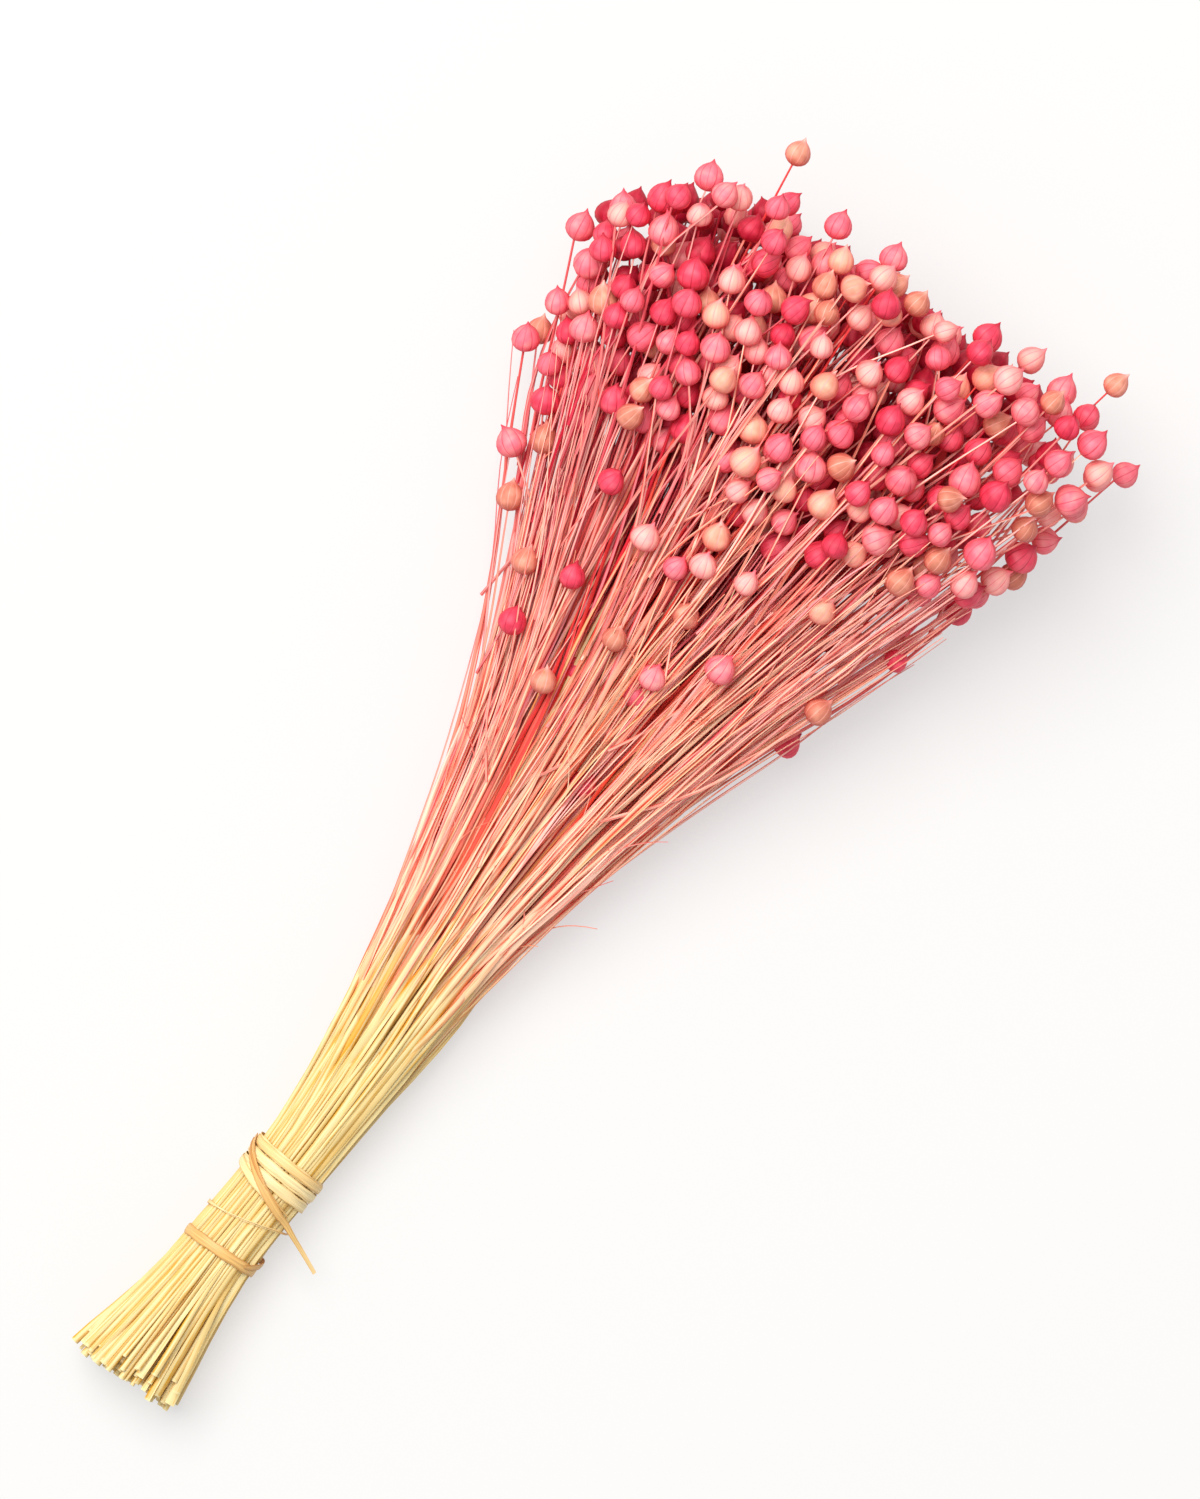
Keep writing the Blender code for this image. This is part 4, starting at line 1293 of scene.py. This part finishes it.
class FLAX_OT_raffia_ties(Operator):
    """Wind the upper tie's overlapping strips, and the lower tie's single band with its fold"""

    bl_idname = "flax.raffia_ties"
    bl_label = "Raffia ties"

    def execute(self, context):
        thickness = context.scene.flax_raffia.thickness
        pi = math.pi
        chance = random.Random(TIES)
        upper = Forms()
        inner = STEM_RADIUS_AT_TIE + GAP + 0.5 * thickness
        eighths = [(n, n * pi / 4) for n in range(-2, 23)]
        winding = [(turn, 79.9 - 3.5 * n / 8 + 0.5 * math.cos(turn)) for n, turn in eighths]
        wrap(upper, winding, 3.2 * MM, thickness, inner, 0.10, chance, cup=0.06 * MM)
        second = inner + thickness + 0.02 * MM
        top_strip = [(-0.5 * pi, 79.0), (0, 80.3), (pi, 77.5), (1.5 * pi, 77.6)]
        wrap(upper, top_strip, 2.5 * MM, thickness, second, 0.35, chance, ends=(0.6, 0.5))
        middle_strip = [(-0.4 * pi, 76.0), (0.05 * pi, 77.0), (pi, 74.4), (1.4 * pi, 75.2)]
        wrap(upper, middle_strip, 2.4 * MM, thickness, second, 0.05, chance, ends=(0.5, 0.6))
        lower_strip = [(-0.5 * pi, 71.6), (0, 73.4), (0.62 * pi, 67.0), (0.72 * pi, 65.4)]
        wrap(upper, lower_strip, 2.3 * MM, thickness, second, 0.15, chance, ends=(0.7, 0.35))
        upper.piece("upper_tie", (raffia(),), ("upper_raffia_tie",))

        lower = Forms()
        band = [(turn * pi / 4, 47.2 + 0.35 * math.sin(turn * pi / 4)) for turn in range(-2, 7)]
        wrap(lower, band, 3.0 * MM, 1.3 * thickness, inner + 0.1 * MM, 0.62, chance, cup=-0.05 * MM)
        fold = [(0.74 * pi, 47.6), (0.9 * pi, 49.2), (1.02 * pi, 51.4), (1.25 * pi, 50.6)]
        wrap(lower, fold, 1.9 * MM, thickness, second + 0.2 * MM, 0.75, chance, ends=(0.4, 0.6))
        lower.piece("lower_tie", (raffia(),), ("lower_raffia_tie",))
        return {"FINISHED"}


class FLAX_OT_cross_strip(Operator):
    """Lay the strip that crosses over the upper tie and ends in a free tail"""

    bl_idname = "flax.cross_strip"
    bl_label = "Cross strip"

    def execute(self, context):
        thickness = context.scene.flax_raffia.thickness
        chance = random.Random(STRIP)
        over = STEM_RADIUS_AT_TIE + GAP + 2.6 * thickness + 0.1 * MM
        # The strip, which has the tail, and its thin folded edge: from and to along, width, tan and lift.
        courses = ((80.5, 64.8, 2.5, 0.62, 0.0), (79.4, 66.6, 0.8, 0.95, 0.12))
        forms = Forms()
        for start, end, width, tan, lift in courses:
            knots, outs = [], []
            for n in range(13):
                share = n / 12
                along = between(start, end, 1 - (1 - share) ** 1.3)
                turn = math.radians(between(4, 136, share))
                place, out = around(along * MM, turn, over + lift * MM)
                knots.append(place)
                outs.append(out)
            if width > 1:
                root = knots[-1]
                for far, drop in ((0.3, 0.36), (0.65, 0.76), (1.0, 1.0)):
                    knots.append(root + np.array((-8 * MM * far, -16 * MM * far, -9.5 * MM * drop)))
                    outs.append(np.array((0.2, -0.45, 0.87)))
            line = smooth_line(knots, 0.9 * MM)
            outward = np.array(outs)[np.linspace(0, len(outs) - 1, len(line)).round().astype(int)]
            share = np.linspace(0, 1, len(line))
            widths = width * MM * np.interp(share, (0, 0.06, 0.5, 0.75, 1), (0.75, 1, 1, 0.62, 0.46))
            tans = tan - np.clip(share - 0.6, 0, 1)
            ribbon(forms, line, outward, widths, 1.2 * thickness, tans, chance, cup=0.12 * MM)
        forms.piece("cross_strip", (raffia(),), ("raffia_cross_strip",))
        return {"FINISHED"}


class FLAX_OT_loose_fibre(Operator):
    """Lay the fibre that has come loose between the ties"""

    bl_idname = "flax.loose_fibre"
    bl_label = "Loose fibre"

    def execute(self, context):
        chance = random.Random(FIBRE)
        forms = Forms()
        for offset, width, tan in ((0.0, 0.75, 0.5), (0.5, 0.45, 0.35)):
            places = []
            for n in range(40):
                share = n / 39
                along = between(55, 63, share) + 0.5 * math.sin(11 * share) + offset * math.cos(5 * share)
                slack = 1.1 * smoothstep((share - 0.7) / 0.2) + 0.25 * smoothstep((0.4 - share) / 0.2)
                places.append(around(along * MM, math.radians(between(-55, 215, share)), (1.0 + slack) * MM))
            line, outward = (np.array(column) for column in zip(*places))
            share = np.linspace(0, 1, len(line))
            widths = width * MM * np.interp(share, (0, 0.2, 0.42, 0.6, 1), (0.5, 1.9, 0.3, 0.4, 0.7))
            tans = tan * np.interp(share, (0.2, 0.4, 0.6), (1, 0.1, 0.3)) + 0.7 * smoothed(share, 0.6, 0.9)
            ribbon(forms, line, outward, widths, 0.2 * MM, tans, chance)
        forms.piece("loose_fibre", (raffia(),), ("raffia_fibre",))
        return {"FINISHED"}


class FLAX_OT_stage(Operator):
    """Set the white table, the soft lights and the camera straight above"""

    bl_idname = "flax.stage"
    bl_label = "Stage"

    def execute(self, context):
        stage = context.scene.flax_stage
        scene = context.scene
        edge = 6.0
        corners = [(-edge, -edge, 0), (edge, -edge, 0), (edge, edge, 0), (-edge, edge, 0)]
        mesh = bpy.data.meshes.new("table_top")
        mesh.from_pydata(corners, [], [(0, 1, 2, 3)])
        mesh.materials.append(light_table(stage.table, stage.table_glow))
        table = bpy.data.objects.new("table_top", mesh)
        scene.collection.objects.link(table)

        world = bpy.data.worlds.new("white studio")
        world.use_nodes = True
        background = world.node_tree.nodes["Background"]
        background.inputs["Color"].default_value = (1, 1, 1, 1)
        background.inputs["Strength"].default_value = stage.room_light
        scene.world = world

        towards, distance = Vector((0.2, 0.42, 0.95)).normalized(), 2.6
        softbox = bpy.data.lights.new("softbox", "AREA")
        softbox.shape = "DISK"
        softbox.size = stage.softbox_size
        softbox.energy = stage.softbox_power
        softbox.color = linear("#FFFBF5")
        lamp = bpy.data.objects.new("softbox", softbox)
        lamp.location = towards * distance
        lamp.rotation_euler = towards.to_track_quat("Z", "Y").to_euler()
        scene.collection.objects.link(lamp)

        lens = bpy.data.cameras.new("from above")
        lens.sensor_width = 36
        seen_along, seen_across, middle_height = 228.4 * MM, -5.4 * MM, 35 * MM
        lens.lens = lens.sensor_width * (stage.camera_height - middle_height) / stage.view_length
        camera = bpy.data.objects.new("from above", lens)
        camera.location = (seen_along - ORIGIN_ALONG, seen_across - ORIGIN_ACROSS, stage.camera_height)
        camera.rotation_euler = (0, 0, -stage.camera_turn)
        scene.collection.objects.link(camera)
        scene.camera = camera
        scene.view_settings.view_transform = "Standard"
        return {"FINISHED"}


# The settings that a user would change.


def amount(name, description, default, **more):
    return FloatProperty(name=name, description=description, default=default, min=0, **more)


def length(name, description, default):
    return amount(name, description, default, unit="LENGTH", subtype="DISTANCE")


def number(name, description, default, least):
    return IntProperty(name=name, description=description, default=default, min=least)


def colour(name, description, default):
    limits = {"size": 3, "min": 0, "max": 1, "subtype": "COLOR"}
    return FloatVectorProperty(name=name, description=description, default=linear(default), **limits)


class StrawSettings(PropertyGroup):
    cut: length("Radius at the cut", "Radius of a stem at its cut end", 0.92 * MM)
    tie: length("Radius at the ties", "Radius of a stem between the ties", 0.70 * MM)
    fork: length("Radius at the fork", "Radius of a stem where its stalks leave it", 0.44 * MM)
    stalk: length("Stalk radius", "Radius of the stalk below a boll", 0.29 * MM)
    # The first six are the stem's lit colours, by how much dye it took. The last four are the deeper colours
    # that the stem is mixed towards: its darker streaks are its grain, and its painted shade lies on its
    # sides and deep in the bunch.
    straw: colour("Straw", "Undyed stem, at the cut ends", "#E5D49C")
    ripe_straw: colour("Ripe straw", "Where the dye begins to show", "#F4D8B6")
    peach: colour("Peach", "Lightly dyed stem", "#FBD9BC")
    coral: colour("Coral", "Half-dyed stem", "#FDCFC1")
    pink: colour("Pink", "Fully dyed stem", "#FBA8AA")
    # Deep pink is also given to stems deep in the head, as painted shade.
    deep_pink: colour("Deep pink", "Stem in the depth of the bunch, where the dye stayed longest", "#D83A55")
    gold: colour("Gold", "Darker streaks of undyed straw", "#DEA20A")
    amber: colour("Amber", "Darker streaks of lightly dyed straw", "#F8663C")
    brick: colour("Brick", "Darker streaks of half-dyed straw", "#FF4C40")
    crimson: colour("Crimson", "Darker streaks of fully dyed straw", "#CC0C30")


class BollSettings(PropertyGroup):
    seam_depth: amount("Seam depth", "How deep the seams are, as a share of the radius", 0.055, max=0.3)
    tan: colour("Tan", "Boll that took no dye", "#D07E68")
    peach: colour("Peach", "Boll that took a little dye", "#FBB69C")
    pale_pink: colour("Pale pink", "Lightly dyed boll", "#FFB6B0")
    pink: colour("Pink", "Dyed boll", "#F9788A")
    # Bolls deep in the head also reach deep pink and crimson, because their tone is raised as painted shade.
    deep_pink: colour("Deep pink", "Deeply dyed boll", "#EA4260")
    crimson: colour("Crimson", "Beaks and seams of the deepest bolls", "#B00C30")


class CompanionSettings(PropertyGroup):
    count: number("Plants", "How many companion plants fill the bunch up", 260, 0)
    groups: number("Groups", "How many pieces the plants are joined in", 10, 1)


class RaffiaSettings(PropertyGroup):
    thickness: length("Thickness", "Thickness of a raffia strip", 0.35 * MM)
    pale: colour("Pale", "Clean raffia", "#FBE6B0")
    golden: colour("Golden", "Ordinary raffia", "#F1C67C")
    tan: colour("Tan", "Raffia at folds and edges", "#C98A45")


class StageSettings(PropertyGroup):
    table: colour("Table", "Acrylic of the table top", "#929292")
    table_glow: amount("Table glow", "Light from below the table", 0.57)
    room_light: amount("Room light", "Strength of the white room", 0.48)
    softbox_size: length("Softbox size", "Diameter of the softbox", 2.3)
    softbox_power: amount("Softbox power", "Power of the softbox", 92.0, unit="POWER")
    camera_height: length("Camera height", "Height of the camera above the table", 2.4)
    view_length: length("View length", "Long side of the view, halfway up the bunch", 428.7 * MM)
    camera_turn: FloatProperty(
        name="Camera turn",
        description="How far the bunch leans from the view's upright",
        default=math.radians(55.5),
        subtype="ANGLE",
    )


class FLAX_PT_bunch(Panel):
    """Sizes, colours and pieces of the flax bunch"""

    bl_idname = "FLAX_PT_bunch"
    bl_label = "Dried flax bunch"
    bl_space_type = "VIEW_3D"
    bl_region_type = "UI"
    bl_category = "Flax bunch"

    def draw(self, context):
        for name, group in SETTINGS.items():
            box = self.layout.box()
            for setting in group.__annotations__:
                box.prop(getattr(context.scene, name), setting)
        for operator in OPERATORS:
            self.layout.operator(operator.bl_idname)


SETTINGS = {
    "flax_straw": StrawSettings,
    "flax_bolls": BollSettings,
    "flax_companions": CompanionSettings,
    "flax_raffia": RaffiaSettings,
    "flax_stage": StageSettings,
}
OPERATORS = (
    FLAX_OT_named_plants,
    FLAX_OT_companion_plants,
    FLAX_OT_raffia_ties,
    FLAX_OT_cross_strip,
    FLAX_OT_loose_fibre,
    FLAX_OT_stage,
)


def register():
    for group in (*SETTINGS.values(), *OPERATORS, FLAX_PT_bunch):
        bpy.utils.register_class(group)
    for name, group in SETTINGS.items():
        setattr(bpy.types.Scene, name, PointerProperty(type=group))


def unregister():
    for name in SETTINGS:
        delattr(bpy.types.Scene, name)
    for group in (FLAX_PT_bunch, *OPERATORS, *SETTINGS.values()):
        bpy.utils.unregister_class(group)


def main():
    register()
    bpy.ops.flax.named_plants()
    bpy.ops.flax.companion_plants()
    bpy.ops.flax.raffia_ties()
    bpy.ops.flax.cross_strip()
    bpy.ops.flax.loose_fibre()
    bpy.ops.flax.stage()


if __name__ == "__main__":
    main()
